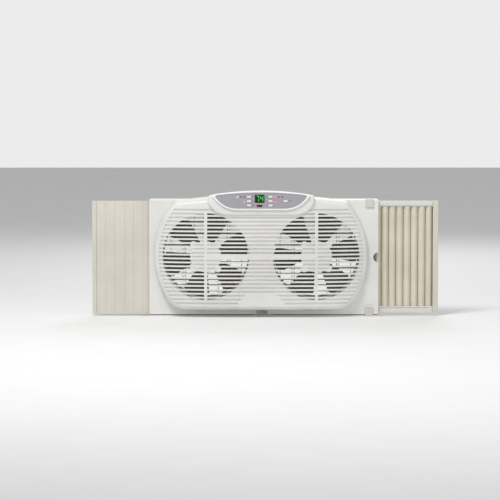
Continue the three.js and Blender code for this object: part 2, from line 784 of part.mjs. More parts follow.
const housingPosts = [-1, 1].flatMap((u) =>
  [bottomRailHigh + housingScrewLift, topRailLow - housingScrewDrop].map((z) => [u * housingScrewX, z]),
);
const postRear = overallDepth - wall - 1;
const leadGateZ = fanHeight - leadGateDrop;

// The flange that closes the window, with the two round tunnels behind it.
function frontFlange() {
  const plate = block(-frameLeft, frameRight, 0, flangeThickness, flangeLift, frameTop);
  const crest = new THREE.Shape();
  const crestHalf = coverCornerX - 12;
  const lowAngle = Math.asin(crestHalf / crestRadius);
  crest.moveTo(crestHalf, frameTop - 4);
  crest.absarc(
    0, coverCrest - crestRadius, crestRadius - 1.5,
    Math.PI / 2 - lowAngle, Math.PI / 2 + lowAngle, false,
  );
  crest.lineTo(-crestHalf, frameTop - 4);
  const rings = sides.map(({ x }) =>
    drum(x, fanHeight, tunnelRadius + tunnelWall, 1, tunnelDepth, 36),
  );
  let flange = joined([plate, prism(crest, 0, flangeThickness), ...rings]);
  for (const { x } of sides) {
    flange = flange.subtract(drum(x, fanHeight, tunnelRadius, -1, tunnelDepth + 1, 36));
  }
  for (const lock of locks) flange = flange.subtract(lockCuts(lock));
  for (const [x, z] of hookPlaces) {
    flange = flange.subtract(
      block(x - hookWidth / 2 - 0.5, x + hookWidth / 2 + 0.5, -1, hookLength, z - 2.8, z + 2.8),
    );
  }
  const sillNotch = block(
    sillNotchX - sillNotchWidth / 2, sillNotchX + sillNotchWidth / 2, -1, flangeThickness + 1,
    -1, sillNotchTop,
  );
  const leadGate = block(
    -leadGateHalf, leadGateHalf, -1, flangeThickness + 1,
    leadGateZ - leadGateHeight / 2, leadGateZ + leadGateHeight / 2,
  );
  const fingerNotch = drum(
    frameRight, fanHeight - fingerNotchDrop, fingerNotchRadius, -1, flangeThickness + 1, 24,
  );
  return flange.subtract(sillNotch).subtract(leadGate).subtract(fingerNotch);
}

// The box behind the flange: its four walls, the pocket of the filler panel, the two channels of
// the sliding frame and the posts that the rear housing is screwed to.
function windowFrame() {
  const front = flangeThickness + seam;
  const walls = [
    block(-frameLeft, frameRight, front, frameDepth, topWallLow, frameTop),
    block(-frameLeft, frameRight, flangeThickness / 2, frameDepth, 0, wall),
    block(-frameLeft, -frameLeft + wall, pocketBack, frameDepth, 0, frameTop),
    block(frameRight - wall, frameRight, channelBack, frameDepth, 0, frameTop),
  ];
  const pocket = [
    block(-frameLeft, pocketInner, pocketBack, pocketBack + wall, 1, frameTop - 1),
    block(pocketInner - wall, pocketInner, front, pocketBack + wall, 1, frameTop - 1),
  ];
  const backTop = [topRailLow - 2.6, frameTop - 1];
  const backLow = [1, bottomRailHigh + 2.6];
  const channels = [
    block(channelLeft, frameRight, channelBack, channelBack + 2, ...backTop),
    block(channelLeft, frameRight, channelBack, channelBack + 2, ...backLow),
    block(channelLeft, partitionX + 1, front, channelBack + 1, topRailLow - 2.6, topRailLow - railPlay),
    block(channelLeft, frameRight, front, channelBack + 1, bottomRailLift - 2.4, bottomRailLift - railPlay),
    block(channelLeft, partitionX + 1, front, channelBack + 1, bottomRailHigh + railPlay, bottomRailHigh + 2.6),
    block(
      partitionX, partitionX + wall, front, frameDepth,
      bottomRailHigh + railPlay + 0.1, topRailLow - railPlay - 0.1,
    ),
  ];
  const posts = housingPosts.map(([x, z]) => drum(x, z, housingPostRadius, front, postRear, 12));
  // The back of the well that the sill notch opens into.
  const wellHalf = sillNotchWidth / 2 + 6;
  const well = block(
    sillNotchX - wellHalf, sillNotchX + wellHalf, sillWellDepth, sillWellDepth + wall,
    wall / 2, sillNotchTop + 3,
  );
  let frame = joined([...walls, ...pocket, ...channels, ...posts, well]);
  for (const [x, z] of housingPosts) {
    frame = frame.subtract(drum(x, z, postBore, postRear - housingScrewLength, postRear + 1, 10));
  }
  return frame;
}

addPart("front_flange", frontFlange(), finishes.whitePlastic);
addPart("window_frame", windowFrame(), finishes.whitePlastic);
for (const lock of locks) addPart(lock.name, lockBody(lock), finishes.beigePlastic);

// ---------------------------------------------------------------- rear housing

function rearHousing() {
  const front = frameDepth + seam;
  const rear = overallDepth;
  const shell = block(-frameLeft, frameRight, front, rear, 0, frameTop).subtract(
    block(-frameLeft + wall, frameRight - wall, front - 1, rear - wall, wall, frameTop - wall),
  );
  let body = shell;
  for (const { x } of sides) {
    const reach = rearOpeningRadius + 1;
    const rowCount = Math.floor(rearOpeningRadius / rearRowPitch);
    const rows = Array.from({ length: 2 * rowCount + 1 }, (_, i) => {
      const z = fanHeight + (i - rowCount) * rearRowPitch;
      return block(x - reach, x + reach, rear - 6, rear + 1, z - rearSlotHeight / 2, z + rearSlotHeight / 2);
    });
    const ribCount = Math.floor(rearOpeningRadius / rearRibPitch);
    const ribs = Array.from({ length: 2 * ribCount + 1 }, (_, i) => {
      const at = x + (i - ribCount) * rearRibPitch;
      return block(at - rearRibWidth / 2, at + rearRibWidth / 2, rear - 7, rear + 2, 0, frameTop);
    });
    const kept = [drum(x, fanHeight, rearHubRadius, rear - 7, rear + 2, 16), ...ribs];
    const circle = drum(x, fanHeight, rearOpeningRadius, rear - 7, rear + 2, 32);
    body = body.subtract(joined(rows).intersect(circle).subtract(joined(kept)));
  }
  for (const [x, z] of housingPosts) {
    body = body.subtract(drum(x, z, screwRadius + 0.4, rear - 5, rear + 1, 10));
  }
  return body;
}

addPart("rear_housing", rearHousing(), finishes.whitePlastic);

// A pan-head screw whose head's underside is at y and whose shank points along dir.
function screw(x, z, y, dir, length) {
  const head = drum(x, z, screwHeadRadius, ...span(y, y - dir * screwHeadHeight), 10);
  const shank = drum(x, z, screwRadius, ...span(y - dir * 0.2, y + dir * length), 6);
  const cross = block(
    x - 2, x + 2, ...span(y - dir * (screwHeadHeight + 1), y - dir * (screwHeadHeight - 1)),
    z - 0.4, z + 0.4,
  );
  return head.add(shank).subtract(cross);
}

housingPosts.forEach(([x, z], index) => {
  const body = screw(x, z, overallDepth + seam, -1, housingScrewLength);
  addPart(`housing_screw_${index + 1}`, body, finishes.steel);
});

// ---------------------------------------------------------------- motors and impellers

const bearingPocket = 2;
const roundSides = 14; // of the shaft and of the bores round it
const earRadius = 5;
const stackRadius = motorRadius - motorShell - seam;
const coilInner = rotorRadius + 4;
const coilOuter = stackRadius - 5;
const statorSlots = 6;

function slotPlaces(x) {
  return Array.from({ length: statorSlots }, (_, i) => {
    const angle = (i / statorSlots) * 2 * Math.PI;
    const middle = (coilInner + coilOuter) / 2;
    return [x + middle * Math.cos(angle), fanHeight + middle * Math.sin(angle)];
  });
}

// A flat arm from one point of the front view to just past another.
function arm(x0, z0, x1, z1, width, y0, y1) {
  const length = Math.hypot(x1 - x0, z1 - z0) + width / 2;
  const bar = new THREE.BoxGeometry(length, y1 - y0, width);
  bar.translate(length / 2, (y0 + y1) / 2, 0);
  bar.rotateY(-Math.atan2(z1 - z0, x1 - x0));
  bar.translate(x0, 0, z0);
  return solid(bar);
}

function motorBracket(x, isFront) {
  const outer = isFront ? -motorFront : motorRear;
  const inward = isFront ? 1 : -1;
  const joint = isFront ? -coreFront - seam : -coreFront + seam;
  const wallTube = tube(
    x, fanHeight, motorRadius - motorShell, motorRadius, ...span(outer, joint), 24,
  );
  const disc = drum(x, fanHeight, motorRadius, ...span(outer, outer + inward * motorShell), 24);
  const pocket = drum(
    x, fanHeight, bearingRadius + bearingPocket,
    ...span(outer, outer + inward * (motorShell + bearingWidth)), 16,
  );
  let body = joined([wallTube, disc, pocket]);
  if (isFront) {
    const ears = bossPlaces.flatMap(([u, v]) => [
      arm(x, fanHeight, x + u, fanHeight + v, 2 * earRadius, outer, outer + motorShell),
    ]);
    body = body.add(joined(ears));
    for (const [u, v] of bossPlaces) {
      body = body.subtract(drum(x + u, fanHeight + v, screwRadius + 0.4, outer - 1, outer + 3, 6));
    }
  }
  const seat = drum(
    x, fanHeight, bearingRadius + seam,
    ...span(outer + inward * motorShell, outer + inward * (motorShell + bearingWidth + 1)), 16,
  );
  const bore = drum(x, fanHeight, shaftRadius + 0.8, ...span(outer - inward, outer + inward * 4), 12);
  return body.subtract(seat).subtract(bore);
}

function statorCore(x) {
  const bore = rotorRadius + coreHalfGap;
  let core = tube(x, fanHeight, bore, stackRadius, -coreFront, coreRear, 24);
  for (const [u, v] of slotPlaces(x)) {
    core = core.subtract(drum(u, v, 4.2, -coreFront - 1, coreRear + 1, 8));
  }
  return core;
}

function statorCoil(x) {
  const front = -coreFront - seam;
  const rear = coreRear + seam;
  return joined([
    tube(x, fanHeight, coilInner - 1, coilOuter + 1, front - coilDepth + 1.4, front, 18),
    tube(x, fanHeight, coilInner - 1, coilOuter + 1, rear, rear + coilDepth, 18),
    ...slotPlaces(x).map(([u, v]) => drum(u, v, 3.6, front - 0.5, rear + 0.5, 6)),
  ]);
}

function rotorShaft(x) {
  const shaftFront = -motorFront - 1.5;
  return joined([
    drum(x, fanHeight, shaftRadius, shaftFront, shaftRear, roundSides),
    drum(x, fanHeight, rotorRadius, -coreFront, coreRear, 20),
  ]);
}

// The bore's flats, not its corners, are what clears the turning shaft.
function bearing(x, y0) {
  const bore = (shaftRadius + bearingPlay) / Math.cos(Math.PI / roundSides);
  return tube(x, fanHeight, bore, bearingRadius, y0, y0 + bearingWidth, roundSides);
}

// One blade: radial edges, constant angle, and a helical twist, as a closed grid of points.
function blade(x, middleAngle) {
  const tip = tunnelRadius - bladeTipGap;
  const root = hubRadius - 2;
  const alongSteps = 3;
  const acrossSteps = 3;
  const middleY = (impellerFront + impellerRear) / 2;
  const positions = [];
  for (const face of [-1, 1]) {
    for (let i = 0; i <= alongSteps; i += 1) {
      const share = i / alongSteps;
      const radius = root + (tip - root) * share;
      const twist = (bladeRootTwist + (bladeTwist - bladeRootTwist) * share) - bladeThickness;
      for (let j = 0; j <= acrossSteps; j += 1) {
        const across = j / acrossSteps - 0.5;
        const angle = THREE.MathUtils.degToRad(middleAngle + across * bladeAngle);
        positions.push(
          x + radius * Math.cos(angle),
          middleY + across * twist + (face * bladeThickness) / 2,
          fanHeight + radius * Math.sin(angle),
        );
      }
    }
  }
  const row = acrossSteps + 1;
  const layer = row * (alongSteps + 1);
  const faces = [];
  const quad = (a, b, c, d) => faces.push(a, b, c, a, c, d);
  for (let i = 0; i < alongSteps; i += 1) {
    for (let j = 0; j < acrossSteps; j += 1) {
      const a = i * row + j;
      quad(a, a + row, a + row + 1, a + 1);
      quad(layer + a, layer + a + 1, layer + a + row + 1, layer + a + row);
    }
    const first = i * row;
    const last = first + acrossSteps;
    quad(first, layer + first, layer + first + row, first + row);
    quad(last, last + row, layer + last + row, layer + last);
  }
  for (let j = 0; j < acrossSteps; j += 1) {
    const end = alongSteps * row + j;
    quad(j, j + 1, layer + j + 1, layer + j);
    quad(end, layer + end, layer + end + 1, end + 1);
  }
  const geometry = new THREE.BufferGeometry();
  geometry.setAttribute("position", new THREE.Float32BufferAttribute(positions, 3));
  geometry.setIndex(faces);
  return solid(geometry);
}

function impeller(x, startAngle) {
  const hub = drum(x, fanHeight, hubRadius, impellerFront, impellerRear, 24).subtract(
    tube(x, fanHeight, shaftRadius + 4.5, hubRadius - 2.2, impellerFront - 1, impellerRear - 3, 24),
  );
  const blades = Array.from({ length: bladeCount }, (_, i) =>
    blade(x, startAngle + (i * 360) / bladeCount),
  );
  const cup = tube(x, fanHeight, shaftRadius + 4.5, hubRadius - 2.2, impellerFront - 1, impellerRear - 3, 24);
  const bore = drum(x, fanHeight, shaftRadius + seam, impellerFront - 2, impellerRear + 2, 16);
  return joined([hub, ...blades]).subtract(cup).subtract(bore);
}

function impellerNut(x) {
  const body = drum(x, fanHeight, nutRadius, impellerRear + seam, impellerRear + seam + nutDepth, 6);
  return body.subtract(drum(x, fanHeight, shaftRadius + seam, impellerRear - 1, impellerRear + 9, 16));
}

for (const { side, x, bladeStart } of sides) {
  addPart(`motor_front_bracket_${side}`, motorBracket(x, true), finishes.steel);
  addPart(`motor_rear_bracket_${side}`, motorBracket(x, false), finishes.steel);
  addPart(`stator_core_${side}`, statorCore(x), finishes.laminations);
  addPart(`stator_coil_${side}`, statorCoil(x), finishes.copper);
  addPart(`rotor_shaft_${side}`, rotorShaft(x), finishes.steel);
  addPart(`bearing_front_${side}`, bearing(x, -motorFront + motorShell + seam), finishes.bronze);
  const rearSeat = motorRear - motorShell - seam - bearingWidth;
  addPart(`bearing_rear_${side}`, bearing(x, rearSeat), finishes.bronze);
  addPart(`impeller_${side}`, impeller(x, bladeStart), finishes.bladePlastic);
  addPart(`impeller_nut_${side}`, impellerNut(x), finishes.steel);
  bossPlaces.forEach(([u, v], index) => {
    const head = -motorFront + motorShell + seam;
    const body = screw(x + u, fanHeight + v, head, -1, motorScrewLength);
    addPart(`motor_screw_${side}_${index + 1}`, body, finishes.steel);
  });
}

// ---------------------------------------------------------------- filler panel

function fillerPanel() {
  const outer = -frameLeft - panelReach;
  const inner = -frameLeft + panelTongue;
  const rear = panelFront + panelDepth;
  let panel = block(outer, inner, panelFront, rear, panelBottom, panelTop).subtract(
    block(
      outer + wall, inner - wall, panelFront + panelSkin, rear + 1, panelBottom + wall, panelTop - wall,
    ),
  );
  const strip = block(
    outer, outer + panelEndStrip, panelFront - 2, panelFront + 1, panelBottom, panelTop,
  );
  panel = panel.add(strip);
  const grooveWidth = 1.6;
  const deepGroove = outer + panelEndStrip + 1;
  const grooves = [deepGroove, ...panelGroovesAt.map((at) => outer + at)];
  for (const x of grooves) {
    panel = panel.subtract(
      block(
        x - grooveWidth / 2, x + grooveWidth / 2, panelFront - 1, panelFront + 0.8,
        panelBottom - 1, panelTop + 1,
      ),
    );
  }
  return panel;
}

addPart("left_panel", fillerPanel(), finishes.beigePlastic);

// ---------------------------------------------------------------- sliding frame and curtain

const endBarRight = frameRight + extenderReach;
const endBarLeft = endBarRight - endBarWidth;
const railLeft = frameRight - railInside;
const railRight = endBarLeft - seam;
const railRear = railFront + railDepth;

function rail(low, high, opensUp) {
  const bar = block(railLeft, railRight, railFront, railRear, low, high);
  const groove = 4;
  const [g0, g1] = opensUp ? [high - groove, high + 1] : [low - 1, low + groove];
  return bar.subtract(block(railLeft - 1, railRight - 9, railFront + 1.2, railRear - 1.2, g0, g1));
}

addPart("top_rail", rail(topRailLow, topRailHigh, false), finishes.whitePlastic);
addPart("bottom_rail", rail(bottomRailLift, bottomRailHigh, true), finishes.whitePlastic);

const endBarMiddle = (railFront + railRear) / 2;
const endBar = block(
  endBarLeft, endBarRight, endBarMiddle - endBarDepth / 2, endBarMiddle + endBarDepth / 2,
  bottomRailLift, topRailHigh,
).subtract(
  block(
    endBarRight - 4, endBarRight + 1, endBarMiddle - 3, endBarMiddle + 3,
    bottomRailLift + 10, topRailHigh - 10,
  ),
);
addPart("end_bar", endBar, finishes.beigePlastic);

const curtainBottom = bottomRailHigh + 3.2;
const curtainTop = topRailLow - 3.2;
const stripLeft = partitionX + wall + seam;
const curtainStrip = block(
  stripLeft, stripLeft + stripWidth, endBarMiddle - 5, endBarMiddle + 5, curtainBottom, curtainTop,
);
addPart("curtain_strip", curtainStrip, finishes.curtainVinyl);

// The curtain: round ridges towards the room, with a narrow fold between one and the next.
function pleatedCurtain() {
  const left = stripLeft + stripWidth + seam;
  const right = endBarLeft - seam;
  const pitch = (right - left) / pleatCount;
  const steps = 6;
  const waveY = (share) => endBarMiddle + pleatDepth / 2 - pleatDepth * Math.sin(Math.PI * share) ** 0.7;
  const points = [];
  for (let pleat = 0; pleat < pleatCount; pleat += 1) {
    for (let step = 0; step < steps; step += 1) {
      const share = step / steps;
      points.push([left + (pleat + share) * pitch, waveY(share)]);
    }
  }
  points.push([right, waveY(0)]);
  const outline = new THREE.Shape();
  points.forEach(([x, y], index) => {
    if (index === 0) outline.moveTo(x, y);
    else outline.lineTo(x, y);
  });
  for (const [x, y] of [...points].reverse()) outline.lineTo(x, y + curtainThickness);
  const options = { depth: curtainTop - curtainBottom, bevelEnabled: false };
  const sheet = new THREE.ExtrudeGeometry(outline, options);
  sheet.translate(0, 0, curtainBottom);
  return solid(sheet);
}

addPart("pleated_curtain", pleatedCurtain(), finishes.curtainVinyl);

// ---------------------------------------------------------------- mains side

function powerBoard() {
  const rear = powerBoardY + boardThickness;
  const board = block(
    -powerBoardHalf, powerBoardHalf, powerBoardY, rear, powerBoardBottom, powerBoardTop,
  );
  const low = 7 - powerBoardHalf;
  const transformer = block(
    low, low + transformerWidth, rear - 0.5, rear + transformerDepth, powerBoardBottom + 1, powerBoardTop,
  );
  const capacitors = [0, 1].map((i) => {
    const left = 2 + i * capacitorPitch;
    return block(
      left, left + capacitorWidth, rear - 0.5, rear + capacitorDepth,
      powerBoardBottom + 2, powerBoardTop - 4,
    );
  });
  const socket = block(
    -socketHalf, socketHalf, powerBoardY - 4, powerBoardY + 0.5, powerBoardTop - 8, powerBoardTop - 2,
  );
  return joined([board, transformer, ...capacitors, socket]);
}

addPart("power_board", powerBoard(), finishes.circuitBoard);

// Cord inlet in the underside of the cover: a flanged rubber sleeve, with no cord in it.
function cordGrommet() {
  const body = new THREE.LatheGeometry(
    [
      [2.8, -grommetProud], [grommetRadius + 2, -grommetProud], [grommetRadius + 2, -seam],
      [grommetRadius, -seam], [grommetRadius, 4.6], [2.8, 4.6], [2.8, -grommetProud],
    ].map(([r, y]) => new THREE.Vector2(r, y)),
    16,
  );
  body.rotateX(Math.PI / 2);
  body.translate(grommetX, -10, coverBottom);
  return solid(body);
}

addPart("cord_grommet", cordGrommet(), finishes.rubber);

// Motor lead: from the coil along the back of the bar between the fans, then down to the board.
function motorLead(x, inward) {
  const barBack = -crownAt(fanPitch / 4) + hubBack + leadRadius + 5;
  const start = motorRadius + leadRadius + 1;
  const turn = leadGateDrop * 0.572;
  const end = -inward * 14;
  const route = new THREE.CatmullRomCurve3(
    [
      [x + inward * start, -8, fanHeight],
      [x + inward * (start + 10), -16, fanHeight],
      [x + inward * (motorRadius + 30), barBack, fanHeight],
      [end + -inward * 18, barBack, fanHeight],
      [end, barBack + 2, fanHeight - 12],
      [end, -22, fanHeight - turn],
      [end, 0, leadGateZ],
      [end, powerBoardY - 2, powerBoardTop],
    ].map((point) => new THREE.Vector3(...point)),
  );
  const section = new THREE.Shape();
  section.absarc(0, 0, leadRadius, 0, 2 * Math.PI, false);
  const options = { steps: 20, extrudePath: route, curveSegments: 4, bevelEnabled: false };
  return solid(new THREE.ExtrudeGeometry(section, options));
}

for (const { side, x, inward } of sides) {
  addPart(`motor_lead_${side}`, motorLead(x, inward), finishes.rubber);
}

// ---------------------------------------------------------------- the whole object's frame

const lowX = -frameLeft - panelReach;
const frontY = Math.min(bezelFront, fasciaFront - buttonProud);
const rearY = overallDepth + seam + screwHeadHeight;
fan.position.set(-(lowX + endBarRight) / 2, -(frontY + rearY) / 2, 0);

const whole = new THREE.Group();
whole.add(fan);
export default whole;
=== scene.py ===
# %% [markdown]
# # A twin window fan, dressed piece by piece
#
# This fan has two impellers side by side in one wide, flat casing, with a filler panel on its left
# and a sliding frame on its right. The engineering model is loaded first and gives every piece its
# true place. After that the surfaces that show are remade with finer shapes, and every piece gets
# its finish. Each step says what the piece is on the real object, how it could be made, and why
# this way was chosen.

# %% Load the engineering model
import json
import math

import bmesh
import bpy
import numpy as np
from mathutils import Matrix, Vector


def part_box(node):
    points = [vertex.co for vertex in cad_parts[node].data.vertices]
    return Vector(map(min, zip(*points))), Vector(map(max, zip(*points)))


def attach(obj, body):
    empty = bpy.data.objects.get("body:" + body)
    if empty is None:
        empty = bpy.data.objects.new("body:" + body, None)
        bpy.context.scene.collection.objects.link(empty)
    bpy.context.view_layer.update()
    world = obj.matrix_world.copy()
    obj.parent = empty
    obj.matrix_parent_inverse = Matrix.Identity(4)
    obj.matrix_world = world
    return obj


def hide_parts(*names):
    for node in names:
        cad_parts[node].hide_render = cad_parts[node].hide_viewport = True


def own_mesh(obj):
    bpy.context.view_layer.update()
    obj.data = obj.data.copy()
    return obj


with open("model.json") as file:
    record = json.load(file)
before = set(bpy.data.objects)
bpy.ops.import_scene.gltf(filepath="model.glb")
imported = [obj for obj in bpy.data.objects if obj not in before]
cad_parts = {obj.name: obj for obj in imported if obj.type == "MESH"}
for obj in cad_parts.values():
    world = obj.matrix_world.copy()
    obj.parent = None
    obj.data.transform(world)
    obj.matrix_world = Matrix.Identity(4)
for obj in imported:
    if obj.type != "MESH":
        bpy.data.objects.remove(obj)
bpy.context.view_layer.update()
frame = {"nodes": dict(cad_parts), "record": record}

# %% [markdown]
# ## One ruler for the whole lesson
#
# The fan is measured in millimetres from three places: midway between the two impellers, the front
# of the flange, and the plane it stands on. Blender works in metres from the middle of the whole
# object, so one small function turns the first into the second. The box of the flange says where
# those three places are, and nothing has to be fitted by eye.

# %% Millimetres to metres
flange_left, flange_right, flange_top = 282.0, 296.0, 293.6
flange_low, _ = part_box("front_flange")
middle_x = flange_low.x + flange_left / 1000
flange_y = flange_low.y
fan_pitch = 278.0
fan_height = 153.4
left_fan, right_fan = -fan_pitch / 2, fan_pitch / 2


def at(x, y, z):
    """A point given in the fan's own millimetres, in metres."""
    return Vector((middle_x + x / 1000, flange_y + y / 1000, z / 1000))


print("flange front at", round(flange_y, 4), "middle at", round(middle_x, 4))

# %% [markdown]
# ## Small hand tools
#
# Modelling by hand in Blender is mostly the same few moves: pick one object, add a primitive at
# its size and place, cut it with another, round its edges. Each move is wrapped once here, so the
# later cells read like a list of what is done to the piece. Everything is deselected before a
# move, because an operator acts on all that is selected.


# %% Pick, place and cut
def only(obj):
    """Make obj the one selected and active object."""
    if bpy.context.object and bpy.context.object.mode != "OBJECT":
        bpy.ops.object.mode_set(mode="OBJECT")
    bpy.ops.object.select_all(action="DESELECT")
    obj.select_set(True)
    bpy.context.view_layer.objects.active = obj
    return obj


def deselect():
    """Leave edit mode and select nothing."""
    if bpy.context.object and bpy.context.object.mode != "OBJECT":
        bpy.ops.object.mode_set(mode="OBJECT")
    bpy.ops.object.select_all(action="DESELECT")


def settle(name):
    """Name the new primitive and move its place into its mesh."""
    obj = bpy.context.object
    obj.name = name
    obj.data.name = name
    bpy.ops.object.transform_apply(location=True, rotation=True, scale=True)
    return obj


def block(name, x0, x1, y0, y1, z0, z1):
    """A box between two corners, in millimetres."""
    deselect()
    middle = at((x0 + x1) / 2, (y0 + y1) / 2, (z0 + z1) / 2)
    size = Vector((abs(x1 - x0), abs(y1 - y0), abs(z1 - z0))) / 1000
    bpy.ops.mesh.primitive_cube_add(size=1, location=middle, scale=size)
    return settle(name)


def drum(name, x, z, radius, y0, y1, sides=48):
    """A cylinder whose axis runs from front to back."""
    deselect()
    bpy.ops.mesh.primitive_cylinder_add(
        vertices=sides,
        radius=radius / 1000,
        depth=abs(y1 - y0) / 1000,
        location=at(x, (y0 + y1) / 2, z),
        rotation=(math.pi / 2, 0, 0),
    )
    return settle(name)


def plate(name, outline, y0, y1):
    """A flat piece with the given outline in the front view: a disc whose rim is moved onto it."""
    deselect()
    bpy.ops.mesh.primitive_circle_add(vertices=len(outline), radius=0.1, fill_type="NGON")
    obj = bpy.context.object
    obj.name = name
    for vertex, (x, z) in zip(obj.data.vertices, outline):
        vertex.co = at(x, y0, z)
    bpy.ops.object.mode_set(mode="EDIT")
    bpy.ops.mesh.select_all(action="SELECT")
    depth = (0, (y1 - y0) / 1000, 0)
    bpy.ops.mesh.extrude_region_move(TRANSFORM_OT_translate={"value": depth})
    bpy.ops.mesh.select_all(action="SELECT")
    bpy.ops.mesh.normals_make_consistent(inside=False)
    bpy.ops.object.mode_set(mode="OBJECT")
    return obj


def cut(target, cutter, operation="DIFFERENCE"):
    """Boolean target with cutter, then throw the cutter away."""
    only(target)
    bpy.ops.object.modifier_add(type="BOOLEAN")
    boolean = target.modifiers[-1]
    boolean.operation = operation
    boolean.solver = "EXACT"
    boolean.object = cutter
    bpy.ops.object.modifier_apply(modifier=boolean.name)
    bpy.data.objects.remove(cutter)
    return target


def repeat(obj, count, step):
    """Turn obj into a row of count copies, each moved on by step millimetres."""
    only(obj)
    bpy.ops.object.modifier_add(type="ARRAY")
    array = obj.modifiers[-1]
    array.count = count
    array.use_relative_offset = False
    array.use_constant_offset = True
    array.constant_offset_displace = [distance / 1000 for distance in step]
    bpy.ops.object.modifier_apply(modifier=array.name)
    return obj


print("hand tools", [tool.__name__ for tool in (only, block, drum, plate, cut, repeat)])

# %% [markdown]
# ## Soft edges
#
# No moulded or bent edge is perfectly sharp, and it is the thin bright line along an edge that
# tells the eye what a thing is made of. A bevel modifier rounds every edge that turns more than a
# set angle, and weighted normals keep the flat faces flat beside it. A node of the engineering
# model is loose triangles, so its copy is merged and cleaned first, and the copy then stands for
# the node.


# %% Round the edges of a piece
def round_edges(obj, width, segments, angle, miter="MITER_SHARP"):
    """Bevel, by width millimetres, every edge of obj that turns more than angle degrees."""
    only(obj)
    bpy.ops.object.modifier_add(type="BEVEL")
    bevel = obj.modifiers[-1]
    bevel.width = width / 1000
    bevel.segments = segments
    bevel.limit_method = "ANGLE"
    bevel.angle_limit = math.radians(angle)
    bevel.miter_outer = miter
    bpy.ops.object.modifier_apply(modifier=bevel.name)
    return obj


def soften(obj, width, segments=2, angle=35, smooth=35):
    """Round obj's sharp edges, unless width is 0, and shade it smooth."""
    only(obj)
    if width:
        round_edges(obj, width, segments, angle, "MITER_ARC")
    bpy.ops.object.shade_smooth_by_angle(angle=math.radians(smooth))
    bpy.ops.object.modifier_add(type="WEIGHTED_NORMAL")
    weighted = obj.modifiers[-1]
    weighted.keep_sharp = True
    bpy.ops.object.modifier_apply(modifier=weighted.name)
    return obj


def copy_node(node):
    """A merged and cleaned copy of a node, ready to be worked on."""
    source = frame["nodes"][node]
    obj = bpy.data.objects.new(node + "_fine", source.data.copy())
    bpy.context.scene.collection.objects.link(obj)
    obj.data.materials.clear()
    only(obj)
    bpy.ops.object.mode_set(mode="EDIT")
    bpy.ops.mesh.select_all(action="SELECT")
    bpy.ops.mesh.remove_doubles(threshold=0.00002)
    bpy.ops.mesh.dissolve_limited(angle_limit=math.radians(0.3))
    bpy.ops.object.mode_set(mode="OBJECT")
    return obj


print("edge tools", round_edges.__name__, soften.__name__, copy_node.__name__)

# %% [markdown]
# ## Finishes
#
# Moulded plastic looks like one colour, and isn't: the surface is a fine spark-eroded grain, the
# colour drifts a little where the melt flowed, and handled places are smoother. All of it can be
# made from noise on the object's own coordinates, so nothing slides when the view changes. A photo
# wrapped round the piece would be quicker, but it would stretch and show its seam.


# %% Colours and plastics
def screen(r, g, b):
    """An sRGB colour, as read on a screen from 0 to 255, as linear light."""
    steps = [c / 255 for c in (r, g, b)]
    return [c / 12.92 if c <= 0.04045 else ((c + 0.055) / 1.055) ** 2.4 for c in steps]


def start_material(name):
    """A new node material, with what is needed to add to it."""
    material = bpy.data.materials.new(name)
    material.use_nodes = True
    nodes = material.node_tree.nodes
    return material, nodes, material.node_tree.links, nodes["Principled BSDF"]


def noise(nodes, links, scale, detail=3.0, stretch=(1, 1, 1)):
    """Cloudy noise on the object's own coordinates."""
    coordinates = nodes.new("ShaderNodeTexCoord")
    mapping = nodes.new("ShaderNodeMapping")
    mapping.inputs["Scale"].default_value = stretch
    texture = nodes.new("ShaderNodeTexNoise")
    texture.inputs["Scale"].default_value = scale
    texture.inputs["Detail"].default_value = detail
    links.new(coordinates.outputs["Object"], mapping.inputs["Vector"])
    links.new(mapping.outputs["Vector"], texture.inputs["Vector"])
    return texture


def ramp(nodes, links, value, low, high, start=0.35, end=0.65):
    """Map a noise value to a run of colours."""
    node = nodes.new("ShaderNodeValToRGB")
    node.color_ramp.elements[0].position = start
    node.color_ramp.elements[1].position = end
    node.color_ramp.elements[0].color = (*low, 1)
    node.color_ramp.elements[1].color = (*high, 1)
    links.new(value, node.inputs["Fac"])
    return node.outputs["Color"]


def roughen(nodes, links, surface, texture, strength, depth):
    """Let a noise raise and sink the surface by depth metres."""
    bump = nodes.new("ShaderNodeBump")
    bump.inputs["Strength"].default_value = strength
    bump.inputs["Distance"].default_value = depth
    links.new(texture.outputs["Fac"], bump.inputs["Height"])
    links.new(bump.outputs["Normal"], surface.inputs["Normal"])


def plastic(name, color, roughness=0.42, grain=900, depth=0.00003, drift=0.04, stretch=(1, 1, 1)):
    """Moulded plastic: drifting colour, uneven gloss and a fine grain."""
    material, nodes, links, surface = start_material(name)
    slow = noise(nodes, links, 9, 2)
    low = [c * (1 - drift) for c in color]
    high = [min(1, c * (1 + drift)) for c in color]
    links.new(ramp(nodes, links, slow.outputs["Fac"], low, high), surface.inputs["Base Color"])
    wear = noise(nodes, links, 40, 4)
    gloss = nodes.new("ShaderNodeMapRange")
    gloss.inputs["To Min"].default_value = roughness - 0.06
    gloss.inputs["To Max"].default_value = roughness + 0.08
    links.new(wear.outputs["Fac"], gloss.inputs["Value"])
    links.new(gloss.outputs["Result"], surface.inputs["Roughness"])
    roughen(nodes, links, surface, noise(nodes, links, grain, 2, stretch), 0.35, depth)
    surface.inputs["IOR"].default_value = 1.47
    return material


print("white of the casing", [round(c, 3) for c in screen(222, 221, 218)])

# %% [markdown]
# ## Metals, glow and the list of finishes
#
# Metal parts get a grain that is drawn out along one direction, and the winding gets the ridges of
# its wire in the same way. A lamp or digit is coloured plastic with a little light of its own. All
# finishes are kept in one list under the names of the model's material slots, so that every node
# finds its finish there. Setting each node by hand would be long, and one would be forgotten.


